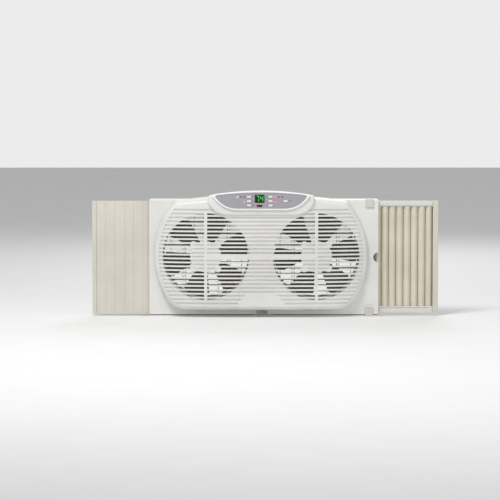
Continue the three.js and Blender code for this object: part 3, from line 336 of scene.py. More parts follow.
# %% Metals, glow and all finishes
def metal(name, color, roughness, stretch=(1, 1, 1), grain=300, depth=0.00002):
    """Metal with a grain that runs along one direction."""
    material, nodes, links, surface = start_material(name)
    streaks = noise(nodes, links, grain, 4, stretch)
    low = [c * 0.8 for c in color]
    high = [min(1, c * 1.15) for c in color]
    links.new(ramp(nodes, links, streaks.outputs["Fac"], low, high), surface.inputs["Base Color"])
    roughen(nodes, links, surface, streaks, 0.5, depth)
    surface.inputs["Metallic"].default_value = 1.0
    surface.inputs["Roughness"].default_value = roughness
    return material


def glow(name, color, light, strength):
    """A lamp or digit that shines through its own coloured plastic."""
    material, nodes, links, surface = start_material(name)
    speckle = noise(nodes, links, 700, 2)
    low = [c * 0.85 for c in color]
    links.new(ramp(nodes, links, speckle.outputs["Fac"], low, color), surface.inputs["Base Color"])
    surface.inputs["Roughness"].default_value = 0.25
    surface.inputs["Emission Color"].default_value = (*light, 1)
    surface.inputs["Emission Strength"].default_value = strength
    return material


finishes = {
    "white_plastic": plastic("white_abs", screen(222, 221, 218)),
    "beige_plastic": plastic(
        "beige_pvc", screen(209, 204, 192), 0.48, 700, 0.00003, 0.05, (1, 1, 0.08)
    ),
    "lock_plastic": plastic("lock_abs", screen(205, 201, 194), 0.45),
    "rail_plastic": plastic(
        "rail_pvc", screen(215, 213, 207), 0.4, 700, 0.00002, 0.04, (0.05, 1, 1)
    ),
    "curtain_vinyl": plastic("curtain_vinyl", screen(212, 206, 189), 0.55, 500, 0.00006, 0.06),
    "silver_fascia": plastic("silver_paint", screen(160, 158, 163), 0.34, 2600, 0.00001, 0.03),
    "button_white": plastic("button_white", screen(232, 232, 231), 0.35, 1200, 0.00002, 0.02),
    "smoked_lens": plastic("smoked_lens", screen(16, 18, 18), 0.12, 900, 0.000004, 0.1),
    "red_lens": plastic("red_lens", screen(92, 12, 26), 0.14, 900, 0.000004, 0.1),
    "light_guide": plastic("light_guide", screen(196, 199, 197), 0.2, 900, 0.00001, 0.03),
    "blade_plastic": plastic("blade_plastic", screen(116, 112, 110), 0.32, 800, 0.00003, 0.08),
    "circuit_board": plastic("circuit_board", screen(34, 92, 52), 0.5, 260, 0.0001, 0.15),
    "zinc_steel": metal("zinc_steel", screen(178, 180, 183), 0.32, (1, 0.15, 1)),
    "core_steel": metal("core_steel", screen(112, 114, 118), 0.5, (0.02, 12, 0.02), 150, 0.0002),
    "copper_winding": metal(
        "copper_winding", screen(184, 100, 62), 0.36, (0.4, 6, 0.4), 200, 0.0003
    ),
    "bronze": metal("bronze", screen(173, 134, 84), 0.42, (1, 1, 1), 900),
    "black_rubber": plastic("black_rubber", screen(36, 36, 38), 0.75, 500, 0.00006, 0.08),
}
slot_of = {s["node"]: s["material_slot"] for s in frame["record"]["subparts"]}
for node, obj in frame["nodes"].items():
    finish = finishes[slot_of[node]]
    if obj.material_slots:
        for material_slot in obj.material_slots:
            material_slot.material = finish
    else:
        obj.data.materials.append(finish)
pale_rubber = plastic("pale_rubber", screen(206, 204, 199), 0.7, 500, 0.00006, 0.05)
frame["nodes"]["cord_grommet"].material_slots[0].material = pale_rubber
print("finishes", len(finishes), "on", len(frame["nodes"]), "nodes")

body_of = {
    node: body
    for body, members in frame["record"]["behaviour"]["bodies"].items()
    for node in members
}


def dress(obj, slot, body, nodes=(), finish=None):
    """Give a piece its finish, let it move with its body, and hide the nodes it stands for."""
    obj.data.materials.clear()
    obj.data.materials.append(finish or finishes[slot])
    for polygon in obj.data.polygons:
        polygon.material_index = 0
    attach(obj, body)
    if nodes:
        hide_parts(*nodes)
    return obj


# %% [markdown]
# ## Extrusions, rails and the frame
#
# The flange, the filler panel, the rails, the end bar and the locks have flat walls that the
# engineering model already has right. They only lack their rounded edges, so each is copied,
# bevelled by about half a millimetre, and put in the node's place. Remodelling them from nothing
# would risk their fit and gain little. The frame behind the flange hardly shows and stays.

# %% Round the flange, panel, rails and locks
for node, width in [
    ("left_panel", 0.5),
    ("top_rail", 0.6),
    ("bottom_rail", 0.6),
    ("end_bar", 1.0),
    ("curtain_strip", 0.8),
    ("top_lock", 0.8),
    ("bottom_lock", 0.8),
    ("front_flange", 0.5),
]:
    piece = soften(copy_node(node), width)
    dress(piece, slot_of[node], body_of[node], [node])
    print(node, "faces", len(piece.data.polygons))

# %% [markdown]
# ## The outline of the front cover
#
# The cover is a shallow convex shell. Seen from the room, its sides are two big arcs, its top is a
# long flat arc that meets them in two sharp corners, and its bottom is straight with round
# corners. Its face also curves back towards both ends. Offsetting each arc by the same inset gives
# every inner ring of the shell, so the rounded edge can be built as a stack of rings. Sculpting or
# scaling one outline would not keep the edge the same width all the way round.

# %% Heights of the outline at any place
side_radius, side_middle = 207.0, 63.0
cover_bottom, corner_fillet = 16.4, 60.0
cover_crest, corner_x, corner_z = 308.6, 217.0, 292.0
edge_width, face_half = 13.3, 256.7
crest_radius = (corner_x**2 + (cover_crest - corner_z) ** 2) / (2 * (cover_crest - corner_z))
reach_down = fan_height - cover_bottom
fillet_x = side_middle + math.sqrt(
    (side_radius - corner_fillet) ** 2 - (reach_down - corner_fillet) ** 2
)
fillet_z = cover_bottom + corner_fillet
fillet_end = math.atan2(fan_height - fillet_z, fillet_x - side_middle)


def crown(x):
    """How far the face stands in front of the flange."""
    return 42 - 25 * min(1, abs(x) / face_half) ** 3.2


def side_rise(x, inset):
    """Height of a side arc over the fans' middle."""
    return math.sqrt(max(0, (side_radius - inset) ** 2 - (x - side_middle) ** 2))


def top_at(x, inset):
    """Top of the outline at x, drawn in by inset."""
    crest = cover_crest - crest_radius + math.sqrt((crest_radius - inset) ** 2 - x * x)
    return crest if x <= side_middle else min(crest, fan_height + side_rise(x, inset))


def bottom_at(x, inset):
    """Bottom of the outline at x, drawn in by inset."""
    small = corner_fillet - inset
    if x <= fillet_x:
        return cover_bottom + inset
    if x <= fillet_x + small * math.cos(fillet_end):
        return fillet_z - math.sqrt(small**2 - (x - fillet_x) ** 2)
    return fan_height - side_rise(x, inset)


def corner_angle(inset):
    """Where the side arc meets the crest, found by halving."""
    low, high = 0, math.pi / 2
    for _ in range(40):
        angle = (low + high) / 2
        x = side_middle + (side_radius - inset) * math.cos(angle)
        crest = cover_crest - crest_radius + math.sqrt((crest_radius - inset) ** 2 - x * x)
        rises = fan_height + (side_radius - inset) * math.sin(angle) < crest
        low, high = (angle, high) if rises else (low, angle)
    return low


def stations(inset):
    """Places across the cover, dense where its corners turn, each with its two heights."""
    angle = corner_angle(inset)
    last = side_middle + (side_radius - inset) * math.cos(angle)
    half = [last * (i / 14) ** 0.85 for i in range(1, 15)]
    turn = [angle * (1 - i / 18) for i in range(1, 19)]
    half += [side_middle + (side_radius - inset) * math.cos(a) for a in turn]
    across = [-x for x in reversed(half)] + [0] + half
    ends = (0, len(across) - 1)
    rows = []
    for i, x in enumerate(across):
        low = fan_height if i in ends else bottom_at(abs(x), inset)
        high = fan_height if i in ends else top_at(abs(x), inset)
        rows.append((x, low, high))
    return rows


print("cover corner at", round(corner_x, 1), "fillet from", round(fillet_x, 1))

# %% [markdown]
# ## A shell from a stack of rings
#
# The rings are joined with faces, and the last ring is closed with strips that run from bottom to
# top. Because the face only curves from left to right, every strip is flat, and the slots can be
# cut through it without wrinkles. A subdivision surface would round the two sharp corners away.
# This one shape is made in mesh code, because no operator fills a ring with strips that follow a
# given curve.


# %% Stack the rings
def shell(name, rings):
    """A closed body: each ring is its inset and a function that gives its depth at x."""
    mesh = bmesh.new()
    loops = []
    for inset, depth_at in rings:
        rows = stations(inset)
        low = [mesh.verts.new(at(x, depth_at(x), z)) for x, z, _ in rows]
        high = [mesh.verts.new(at(x, depth_at(x), z)) for x, _, z in rows[1:-1]]
        loops.append((low, high))
    for (low_a, high_a), (low_b, high_b) in zip(loops, loops[1:]):
        ring_a, ring_b = low_a + high_a[::-1], low_b + high_b[::-1]
        for i in range(len(ring_a)):
            j = (i + 1) % len(ring_a)
            mesh.faces.new((ring_a[i], ring_a[j], ring_b[j], ring_b[i]))
    for (low, high), flip in ((loops[0], True), (loops[-1], False)):
        upper = [low[0], *high, low[-1]]
        for i in range(len(low) - 1):
            corners = [low[i], low[i + 1], upper[i + 1], upper[i]]
            corners = list(dict.fromkeys(corners))
            mesh.faces.new(corners[::-1] if flip else corners)
    data = bpy.data.meshes.new(name)
    bmesh.ops.recalc_face_normals(mesh, faces=mesh.faces)
    mesh.to_mesh(data)
    mesh.free()
    obj = bpy.data.objects.new(name, data)
    bpy.context.scene.collection.objects.link(obj)
    return obj


profile = []
for share in np.linspace(0, 1, 11):
    turn = share * math.pi / 2
    profile.append((1 - math.cos(turn), math.sin(turn) ** 0.85))


def cover_body(name, thin, back):
    """The cover's volume, drawn in by thin millimetres on every side."""
    rings = []
    for i, (across, up) in enumerate(profile):
        if i == 0:
            rings.append((thin, lambda x: back))
        else:
            rings.append((across * edge_width + thin, lambda x, up=up: -(crown(x) - thin) * up))
    return shell(name, rings)


cover = cover_body("cover_body", 0, -0.3)
print("cover faces", len(cover.data.polygons))

# %% [markdown]
# ## Grooves
#
# The whole face is ruled by the same rows, 9.8 mm apart, and outside the two circles a row is a
# shallow groove. One row is modelled, and an array modifier repeats it up the face. Drawing the
# grooves with a bump texture would be lighter, but their edges would not catch the light. The
# grooves take the rows less the cover's own volume drawn in by the depth of a groove, so they
# follow the curved face.


# %% Cut the grooves
row_pitch, slot_height = 9.8, 5.6
groove_height, groove_depth = slot_height - 0.9, 2.3
spoke_half, bar_half = 3.9, 5.5
in_front, behind = -70, 10


def row_boxes(name, x0, x1, low_row, high_row, height, y0, y1, pitch=row_pitch):
    """A stack of equal boxes, counted in rows from the middle of the fans."""
    z = fan_height + low_row * pitch
    first = block(name, x0, x1, y0, y1, z - height / 2, z + height / 2)
    return repeat(first, high_row - low_row + 1, (0, 0, pitch))


def spoke(x):
    """The narrow strip that stays solid above and below a hub."""
    low, high = fan_height - 111, fan_height + 111
    return block("spoke", x - spoke_half, x + spoke_half, in_front, behind, low, high)


def middle_bar(x0, x1):
    """The strip that stays solid between the two hubs."""
    low, high = fan_height - bar_half, fan_height + bar_half
    return block("bar", x0, x1, in_front, behind, low, high)


bare_plate = [(-64, 30), (64, 30), (40, 58), (-40, 58)]
grooves = row_boxes("grooves", -262, 262, -12, 12, groove_height, -60, 0)
face_region = shell(
    "face_region",
    [(edge_width - 1.5, lambda x: -5.0), (edge_width - 1.5, lambda x: -60.0)],
)
cut(grooves, face_region, "INTERSECT")
core = shell(
    "core",
    [
        (edge_width - 4, lambda x: 2.0),
        (edge_width - 4, lambda x: -crown(x) + groove_depth),
    ],
)
cut(grooves, core)
cut(grooves, plate("bare_plate", bare_plate, in_front, behind))
for x in (left_fan, right_fan):
    cut(grooves, spoke(x))
cut(grooves, middle_bar(left_fan, right_fan))
cut(cover, grooves)
print("grooved faces", len(cover.data.polygons))


# %% [markdown]
# ## Slots
#
# Inside the two circles the same rows go right through to the blades. What stays solid in a circle
# is the hub disc with its four bosses, a narrow spoke above and below it, and the bar between the
# two hubs. The slots are first made as a solid body, and everything that stays is taken off that
# body. Then one cut opens a whole circle, and each strip between two slots keeps its clean edges.

# %% Cut the slots and hollow the shell
circle_radius, hub_radius = 109, 39.2
boss_radius, boss_reach = 8.6, 30.6
wall = 2.4
corners = [(-1, -1), (-1, 1), (1, -1), (1, 1)]


def ring_boxes(x, inward):
    """The through slots of one fan, as the body that is cut away."""
    slots = row_boxes("slots", x - 110, x + 110, -11, 11, slot_height, -60, 4)
    circle = drum("circle", x, fan_height, circle_radius, in_front, behind, 96)
    cut(slots, circle, "INTERSECT")
    cut(slots, drum("hub_disc", x, fan_height, hub_radius, in_front, behind, 64))
    for u, v in corners:
        boss_x, boss_z = x + u * boss_reach, fan_height + v * boss_reach
        cut(slots, drum("boss", boss_x, boss_z, boss_radius, in_front, behind, 32))
    cut(slots, spoke(x))
    cut(slots, middle_bar(*sorted((x, x + inward * 112))))
    return slots


cut(cover, cover_body("hollow", wall, 3.0))
for x, inward in ((left_fan, 1), (right_fan, -1)):
    cut(cover, ring_boxes(x, inward))
print("cover faces", len(cover.data.polygons))

# %% [markdown]
# ## One outline for hood, bezel and fascia
#
# The controls sit in a lens: a long arc on top, a straight bottom, and round lower corners. The
# hood, the white bezel and the silver fascia are the same lens, a little smaller each time, so the
# gap between them is even all the way round. Scaling one outline would squeeze that gap at the two
# ends, so each outline is worked out from its own arcs.


# %% Lens outlines
def lens(half, flat_half, bottom, tip_drop, crest, crest_arc, steps=14):
    """The outline, from its lower right corner round to its lower left one."""
    shoulder_x = half - 5
    shoulder_z = crest - crest_arc + math.sqrt(crest_arc**2 - shoulder_x**2)
    tip = shoulder_z - tip_drop
    rise, run = tip - bottom, half - flat_half
    radius = (run**2 + rise**2) / (2 * rise)
    end = math.atan2(rise - radius, run)
    right = []
    for i in range(steps + 1):
        angle = -math.pi / 2 + (end + math.pi / 2) * i / steps
        x = flat_half + radius * math.cos(angle)
        right.append((x, bottom + radius + radius * math.sin(angle)))
    for i in range(1, 7):
        t = i / 6
        curve = [(1 - t) ** 2, 2 * t * (1 - t), t**2]
        knots = [(half, tip), (half + 0.5, shoulder_z - 1), (shoulder_x, shoulder_z)]
        right.append(tuple(sum(c * k[n] for c, k in zip(curve, knots)) for n in (0, 1)))
    top = []
    for i in range(1, 24):
        x = shoulder_x * (1 - i / 12)
        top.append((x, crest - crest_arc + math.sqrt(crest_arc**2 - x**2)))
    left = [(-x, z) for x, z in reversed(right)]
    return right + top + left


def fascia_lens(grow):
    """The fascia's outline, grown by grow millimetres all round."""
    return lens(114 + grow, 60, 275.3 - grow, 4.5, 314.8 + grow, 940)


def hood_lens(grow):
    """The hood's outline, grown by grow millimetres all round."""
    return lens(134 + grow, 85, 257 - grow, 17.2, 318.4 + grow, 752)


bezel_line = lens(121.5, 60, 271.2, 4.4, 319, 752)
print("fascia", fascia_lens(0)[0], "bezel", bezel_line[0], "hood", hood_lens(0)[0])

# %% [markdown]
# ## The hood that carries the controls
#
# Under the silver fascia a low hood swells out of the cover and rises past its top edge. It is
# extruded from the lens, and its front edge is bevelled wide. It is pierced for the controls
# before it joins the cover, and hollowed after, so no face is left standing inside the shell. Two
# pairs of small release holes go through the cover's lower edge.

# %% Make the hood and join it to the cover
hood_front, hood_wall_back = -45.5, -43.0
hood = round_edges(plate("hood", hood_lens(0), hood_front, -8), 6.5, 6, 60)
cut(hood, plate("control_gap", fascia_lens(-3), -52, hood_wall_back))
hood_hollow = plate("hood_hollow", hood_lens(-wall), hood_wall_back - 0.1, -10.4)
cut(cover, hood, "UNION")
cut(cover, hood_hollow)
for x in (-117, 117):
    for step in (-4.4, 4.4):
        cut(cover, drum("release", x + step, 19.0, 1.4, -60, -6, 16))
cover.name = "cover_with_hood"
soften(cover, 0, smooth=32)
dress(cover, "white_plastic", "casing", ["front_cover"])
print("cover faces", len(cover.data.polygons))

# %% [markdown]
# ## Posts inside the cover
#
# Behind each hub disc four posts carry the motor. They hardly show, but a view from the back or
# through a slot must not find the motor hanging in the air. Each is a drum with a bore for its
# screw, and starts inside the curved wall of the cover, so its front follows that curve.

# %% Motor posts
post_radius, bore_radius, post_back = 7.2, 2.2, -14.0
for side, x in (("left", left_fan), ("right", right_fan)):
    for n, (u, v) in enumerate(corners):
        px, pz = x + u * boss_reach, fan_height + v * boss_reach
        front = -crown(px) + 1.2
        post = drum(f"motor_post_{side}_{n + 1}", px, pz, post_radius, front, post_back, 24)
        cut(post, drum("bore", px, pz, bore_radius, -28.7, 0, 16))
        dress(soften(post, 0.4), "white_plastic", "casing")
    print("posts", side, "reach back to", post_back)

# %% [markdown]
# ## Bezel and fascia
#
# A white bezel frames the silver fascia. Both are the same lens at two sizes, so they are extruded
# from one outline function and bevelled. The fascia is pierced for the display, the receiver, the
# buttons and the indicator lamps. Holes with round ends are cut with an oblong outline, because a
# box and two cylinders would leave seams.


# %% Cut the fascia
def oblong(x, z, width, height, steps=10):
    """A rectangle with round ends, as an outline."""
    r = height / 2
    points = []
    for centre, start in ((x + width / 2 - r, -math.pi / 2), (x - width / 2 + r, math.pi / 2)):
        for i in range(steps + 1):
            angle = start + math.pi * i / steps
            points.append((centre + r * math.cos(angle), z + r * math.sin(angle)))
    return points


bezel_back = -45.8
bezel_front = bezel_back - 3.9
fascia_front = bezel_front + 1.4
fascia_back = fascia_front + 2
board_front = fascia_back + 5.2
display_x, display_z = -3.8, 299.8
receiver_z = 281.8
top_row, middle_row, low_row = 304.6, 293.8, 283.0
buttons = {
    "power_button": (-30.4, top_row),
    "speed_button": (-30.4, middle_row),
    "mode_button": (-30.4, low_row),
    "warmer_button": (23.3, top_row),
    "cooler_button": (23.3, middle_row),
    "unit_button": (23.3, low_row),
    "auto_button": (61.2, middle_row),
}
indicators = [
    ("green", -59, 304.3),
    ("dark_green", -50.5, 304.3),
    ("dark_green", -42.2, 304.3),
    ("amber", -42.2, 292),
    ("red", 35, 304.3),
    ("dark_red", 44, 304.3),
    ("dark_red", 53, 304.3),
    ("red", 35, 292),
]

through = (-60, -40)  # front and back of every cutter that goes through the panel


def around_display(name, half_width, half_height, y0, y1):
    """A box centred on the display."""
    x0, x1 = display_x - half_width, display_x + half_width
    return block(name, x0, x1, y0, y1, display_z - half_height, display_z + half_height)


bezel_white = plastic("bezel_white", screen(238, 238, 237), 0.3, 1200, 0.00002, 0.02)
bezel = plate("bezel", bezel_line, bezel_front, bezel_back)
cut(bezel, plate("bezel_gap", fascia_lens(0.3), *through))
soften(bezel, 1.3, segments=4)
dress(bezel, "white_plastic", "casing", ["hood_bezel"], finish=bezel_white)

fascia = plate("fascia", fascia_lens(0), fascia_front, fascia_back)
cut(fascia, around_display("display_hole", 12.3, 10.3, *through))
cut(fascia, plate("receiver_hole", oblong(display_x, receiver_z, 15.6, 5.6), *through))
for x, z in buttons.values():
    cut(fascia, plate("key_hole", oblong(x, z, 11.6, 5.4), *through))
for _, x, z in indicators:
    cut(fascia, drum("lamp_hole", x, z, 2.2, *through, 24))
soften(fascia, 0.35)
dress(fascia, "silver_fascia", "casing", ["control_fascia"])
print("fascia faces", len(fascia.data.polygons))

# %% [markdown]
# ## Display and receiver
#
# The display is a dark window with two green seven-segment digits behind it, and below it sits
# the oval window of the remote control's receiver. A digit is made of short bars with pointed
# ends, and one outline serves for all of them, which is how the real display is built too. A text
# object would be quicker, but its letters don't have these gaps between the bars.

# %% Display window and digits
pane = around_display("display_pane", 12, 10, fascia_front - 0.3, fascia_back)
dress(soften(pane, 0.5, segments=3), "smoked_lens", "casing", ["display_window"])

digit_green = glow("digit_green", screen(40, 150, 62), screen(58, 214, 84), 0.9)
red_edge = glow("display_edge_red", screen(70, 10, 16), screen(120, 14, 22), 0.25)
bar_width, digit_width, digit_height = 1.5, 6.0, 13.4
digit_pitch, digit_lean = 10.4, 0.05


def segment(name, x, z, length, upright):
    """One pointed bar of a digit, leaning to the right as the whole digit does."""
    half, thick = length / 2, bar_width / 2
    tips = [
        (-half, 0),
        (-half + thick, -thick),
        (half - thick, -thick),
        (half, 0),
        (half - thick, thick),
        (-half + thick, thick),
    ]
    points = [(x - b, z + a) if upright else (x + a, z + b) for a, b in tips]
    points = [(px + (pz - display_z) * digit_lean, pz) for px, pz in points]
    bar = plate(name, points, fascia_front - 0.42, fascia_front - 0.28)
    return dress(bar, "smoked_lens", "casing", finish=digit_green)


places = {
    "a": (0, 1, False),
    "b": (0.5, 0.5, True),
    "c": (0.5, -0.5, True),
    "d": (0, -1, False),
    "e": (-0.5, -0.5, True),
    "f": (-0.5, 0.5, True),
    "g": (0, 0, False),
}
for number, (digit, lit) in enumerate([("seven", "abc"), ("four", "fgbc")]):
    centre = display_x + (number - 0.5) * digit_pitch
    for letter in lit:
        dx, dz, upright = places[letter]
        length = digit_height / 2 - 0.4 if upright else digit_width - 0.4
        x = centre + dx * digit_width
        z = display_z + dz * digit_height / 2
        segment(f"digit_{digit}_{letter}", x, z, length, upright)
edge_line = [(-11, -9), (11, -9), (11, 9), (-11, 9)]
edge_outline = [(display_x + x, display_z + z) for x, z in edge_line]
edge_frame = plate("display_edge", edge_outline, fascia_front - 0.36, fascia_front - 0.28)
cut(edge_frame, around_display("edge_hole", 10.4, 8.4, *through))
dress(edge_frame, "smoked_lens", "casing", finish=red_edge)

receiver_outline = oblong(display_x, receiver_z, 15, 5)
receiver = plate("receiver_window", receiver_outline, fascia_front - 0.3, bezel_back)
dress(soften(receiver, 0.7, segments=3), "red_lens", "casing", ["receiver_lens"])
print("display at", display_x, display_z, "receiver faces", len(receiver.data.polygons))

# %% [markdown]
# ## Indicator lamps
#
# The indicators are small domes in the ends of the light guides, four of them lit. A lit one has a
# little emission, so it glows in its own colour under any light, and an unlit one is only dark
# plastic. Each is a sphere pressed flat, so that it catches a small highlight of its own.

# %% Lamps
lamp_radius, lamp_flatness = 0.0021, 0.45
lamp_finish = {
    "green": glow("lamp_green", screen(120, 196, 96), screen(128, 236, 96), 1.1),
    "dark_green": glow("lamp_dark_green", screen(52, 66, 58), screen(52, 66, 58), 0.0),
    "amber": glow("lamp_amber", screen(238, 134, 112), screen(255, 110, 80), 1.2),
    "red": glow("lamp_red", screen(238, 96, 112), screen(255, 66, 84), 1.2),
    "dark_red": glow("lamp_dark_red", screen(122, 42, 66), screen(122, 42, 66), 0.0),
}
for n, (tint, x, z) in enumerate(indicators):
    deselect()
    bpy.ops.mesh.primitive_uv_sphere_add(
        segments=24, ring_count=12, radius=lamp_radius, location=at(x, fascia_front + 0.1, z)
    )
    dome = bpy.context.object
    dome.scale = (1, lamp_flatness, 1)
    dome = settle(f"lamp_{n + 1}_{tint}")
    bpy.ops.object.shade_smooth()
    dress(dome, "light_guide", "casing", finish=lamp_finish[tint])
print("lamps", len(indicators))

# %% [markdown]
# ## Buttons
#
# Each key is a small white oblong cap that stands about a millimetre and a half out of the fascia,
# with a softly domed face. The cap is one extruded outline with a wide bevel. Behind it the
# engineering model's rim and stem keep it in its hole, so the new piece includes them and moves
# with the key's own body.

# %% Seven keys
for node, (x, z) in buttons.items():
    key = plate(node + "_cap", oblong(x, z, 11, 4.8), fascia_front - 1.5, fascia_back + 0.3)
    round_edges(key, 1.1, 4, 60)
    rim = plate("rim", oblong(x, z, 13, 6.8), fascia_back + 0.25, fascia_back + 1.2)
    stem = block("stem", x - 1.2, x + 1.2, fascia_back + 1.1, board_front - 3, z - 1.2, z + 1.2)
    cut(key, rim, "UNION")
    cut(key, stem, "UNION")
    soften(key, 0, smooth=40)
    dress(key, "button_white", node, [node])
    print(node, "faces", len(key.data.polygons))

# %% [markdown]
# ## Printed marks
#
# Beside each key the fascia carries a small dark printed ring, a few hundredths of a millimetre
# thick, like ink. A painted texture would do as well on a flat face, but a thin ring of its own
# stays sharp however close the camera comes, and it needs no texture space.

# %% Marks on the fascia
ink = plastic("fascia_ink", screen(96, 94, 102), 0.5, 1500, 0.000004, 0.05)
marks = [(x, z) for x in (-20.4, 14.0) for z in (top_row, middle_row, low_row)]
marks.append((72.6, middle_row))
for n, (x, z) in enumerate(marks):
    ring = oblong(x, z, 3.6, 3.2)
    mark = plate(f"fascia_mark_{n + 1}", ring, fascia_front - 0.05, fascia_front + 0.1)
    cut(mark, plate("ring_hole", oblong(x, z, 1.9, 1.5), *through))
    dress(mark, "silver_fascia", "casing", finish=ink)
print("marks", len(marks))

# %% [markdown]
# ## Impellers
#
# Behind each grille turns a moulded impeller with six wide blades. A blade's edges are radial, and
# it twists: its leading edge stands further forward at the tip than at the hub. One blade is a
# grid bent round the shaft in polar coordinates, thickened and rounded. The other five are copies
# turned by sixty degrees, each with its own mesh, joined to a cup-shaped hub.


# %% One blade, six times, on a hub
root_radius, tip_radius = 22, 106.3
root_twist, tip_twist = 14, 22.5
blade_span, blade_middle, blade_thickness = 38, 44.5, 0.0018


def blade(name, x, middle_angle):
    """One twisted blade, its width given in degrees round the shaft."""
    deselect()
    bpy.ops.mesh.primitive_grid_add(x_subdivisions=14, y_subdivisions=12, size=2)
    obj = bpy.context.object
    obj.name = name
    for vertex in obj.data.vertices:
        along, across = (vertex.co.x + 1) / 2, vertex.co.y / 2
        tip_round = 5.0 * (2 * abs(across)) ** 4 * along**3
        radius = root_radius + (tip_radius - root_radius) * along - tip_round
        twist = root_twist + (tip_twist - root_twist) * along
        angle = math.radians(middle_angle + across * blade_span)
        camber = 1.6 * (0.25 - across**2) * 4 * along
        depth = blade_middle + across * twist - camber
        z = fan_height + radius * math.sin(angle)
        vertex.co = at(x + radius * math.cos(angle), depth, z)
    bpy.ops.object.modifier_add(type="SOLIDIFY")
    solidify = obj.modifiers[-1]
    solidify.thickness = blade_thickness
    solidify.offset = 0
    bpy.ops.object.modifier_apply(modifier=solidify.name)
    soften(obj, 0.6, segments=2, angle=60, smooth=50)
    return obj


for side, x, start in (("left", left_fan, 15), ("right", right_fan, 8)):
    hub = drum(f"impeller_{side}_fine", x, fan_height, 24, 32, 57, 64)
    cup = drum("cup", x, fan_height, 21.8, 20, 54, 64)
    cut(cup, drum("core", x, fan_height, 7.5, 10, 60, 32))
    cut(hub, cup)
    cut(hub, drum("bore", x, fan_height, 3.3, 20, 70, 32))
    soften(hub, 0.9, segments=3)
    blades = [blade(f"blade_{i}", x, start + 60 * i) for i in range(6)]
    only(hub)
    for piece in blades:
        piece.select_set(True)
    bpy.ops.object.join()
    dress(hub, "blade_plastic", f"fan_{side}", [f"impeller_{side}"])
    print(hub.name, "faces", len(hub.data.polygons))

# %% [markdown]
# ## The pleated curtain
#
# The gap on the right is closed by a sheet of cream vinyl with nine pleats that folds up as the
# sliding frame goes in. The ridges that face the room are round and the folds between them are
# tight. The sheet is a fine grid whose depth follows a power of a sine, thickened by a solidify
# modifier.

# %% Pleats
curtain_low, curtain_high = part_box("pleated_curtain")
pleats, steps = 9, 22
pleat_depth, half_wall, sheet_thickness = 0.0115, 0.0011, 0.0009
deselect()
bpy.ops.mesh.primitive_grid_add(x_subdivisions=pleats * steps, y_subdivisions=24, size=2)
curtain = bpy.context.object
curtain.name = "curtain_sheet"
for vertex in curtain.data.vertices:
    share, up = (vertex.co.x + 1) / 2, (vertex.co.y + 1) / 2
    phase = share * pleats % 1
    crest = abs(math.sin(math.pi * phase)) ** 0.62
    sag = 0.35 * math.sin(up * 7 + share * 31) * math.sin(share * 13)
    x = curtain_low.x + share * (curtain_high.x - curtain_low.x) + sag * 0.001 * up * (1 - up)
    y = curtain_high.y - half_wall - crest * pleat_depth
    z = curtain_low.z + up * (curtain_high.z - curtain_low.z)
    vertex.co = (x, y, z)
bpy.ops.object.modifier_add(type="SOLIDIFY")
curtain.modifiers[-1].thickness = sheet_thickness
curtain.modifiers[-1].offset = 0
bpy.ops.object.modifier_apply(modifier=curtain.modifiers[-1].name)
bpy.ops.object.shade_smooth_by_angle(angle=math.radians(60))
dress(curtain, "curtain_vinyl", "casing", ["pleated_curtain"])
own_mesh(curtain)

# %% [markdown]
# ## Rear housing
#
# The back of the fan is a shallow tray with a slotted circle behind each impeller. It is made like
# the real mould makes it: a block with rounded edges is hollowed from the front, and then the rows
# between the slats are cut away. A bevel over all those slots would cost thousands of faces on a
# side that seldom shows, so only the outer edges are rounded, before the cutting.

# %% Tray and slots
rear, rear_slot_height, rear_pitch = 72.0, 10.7, 14.7
tray = block("rear_tray", -flange_left, flange_right, 40.3, rear, 0, flange_top)
soften(tray, 1.4, segments=4)
cut(tray, block("inside", -279.6, 293.6, 30, rear - wall, wall, 291.2))
for x in (left_fan, right_fan):
    depths = (rear - 6, rear + 2)
    slots = row_boxes("rear_slots", x - 108, x + 108, -7, 7, rear_slot_height, *depths, rear_pitch)
    cut(slots, drum("circle", x, fan_height, 107, rear - 8, rear + 4, 96), "INTERSECT")
    cut(slots, drum("hub", x, fan_height, 30, rear - 8, rear + 4, 64))
    for step in (-54, 0, 54):
        rib = x + step
        cut(slots, block("rib", rib - 1.1, rib + 1.1, rear - 8, rear + 4, 0, 293))
    cut(tray, slots)
for x in (-253, 253):
    for z in (30, 268):
        cut(tray, drum("hole", x, z, 2.3, rear - 5, rear + 3, 24))
dress(soften(tray, 0), "white_plastic", "casing", ["rear_housing"])
print("rear housing faces", len(tray.data.polygons))

# %% [markdown]
# ## Ribs of the rear grille
#
# From the front one sees thin upright ribs behind the blades, thirty millimetres apart. The
# engineering model has the slats and every other strong rib, and the slender ones are added here
# as one bar that an array repeats and each circle cuts to length.

# %% Slender rear ribs
for side, x in (("left", left_fan), ("right", right_fan)):
    low, high = fan_height - 108, fan_height + 108
    ribs = block(f"rear_ribs_{side}", x - 91, x - 89, rear - 4.4, rear - 0.6, low, high)
    repeat(ribs, 7, (30, 0, 0))
    cut(ribs, drum("circle", x, fan_height, 108, rear - 8, rear + 4, 72), "INTERSECT")
    cut(ribs, drum("hub", x, fan_height, 28, rear - 9, rear + 5, 48))
    dress(soften(ribs, 0.3), "white_plastic", "casing")
    print(ribs.name, "faces", len(ribs.data.polygons))

# %% [markdown]
# ## The studio
#
# The fan stands on a pale floor in soft light, as in a catalogue. A big soft lamp from above on
# the left models the pleats and grooves, a weaker one fills from the right, and the world gives
# the rest. Their sum is set so that a colour comes out about as it is written. A second, paler
# background is seen only by the camera and in gloss and glass.

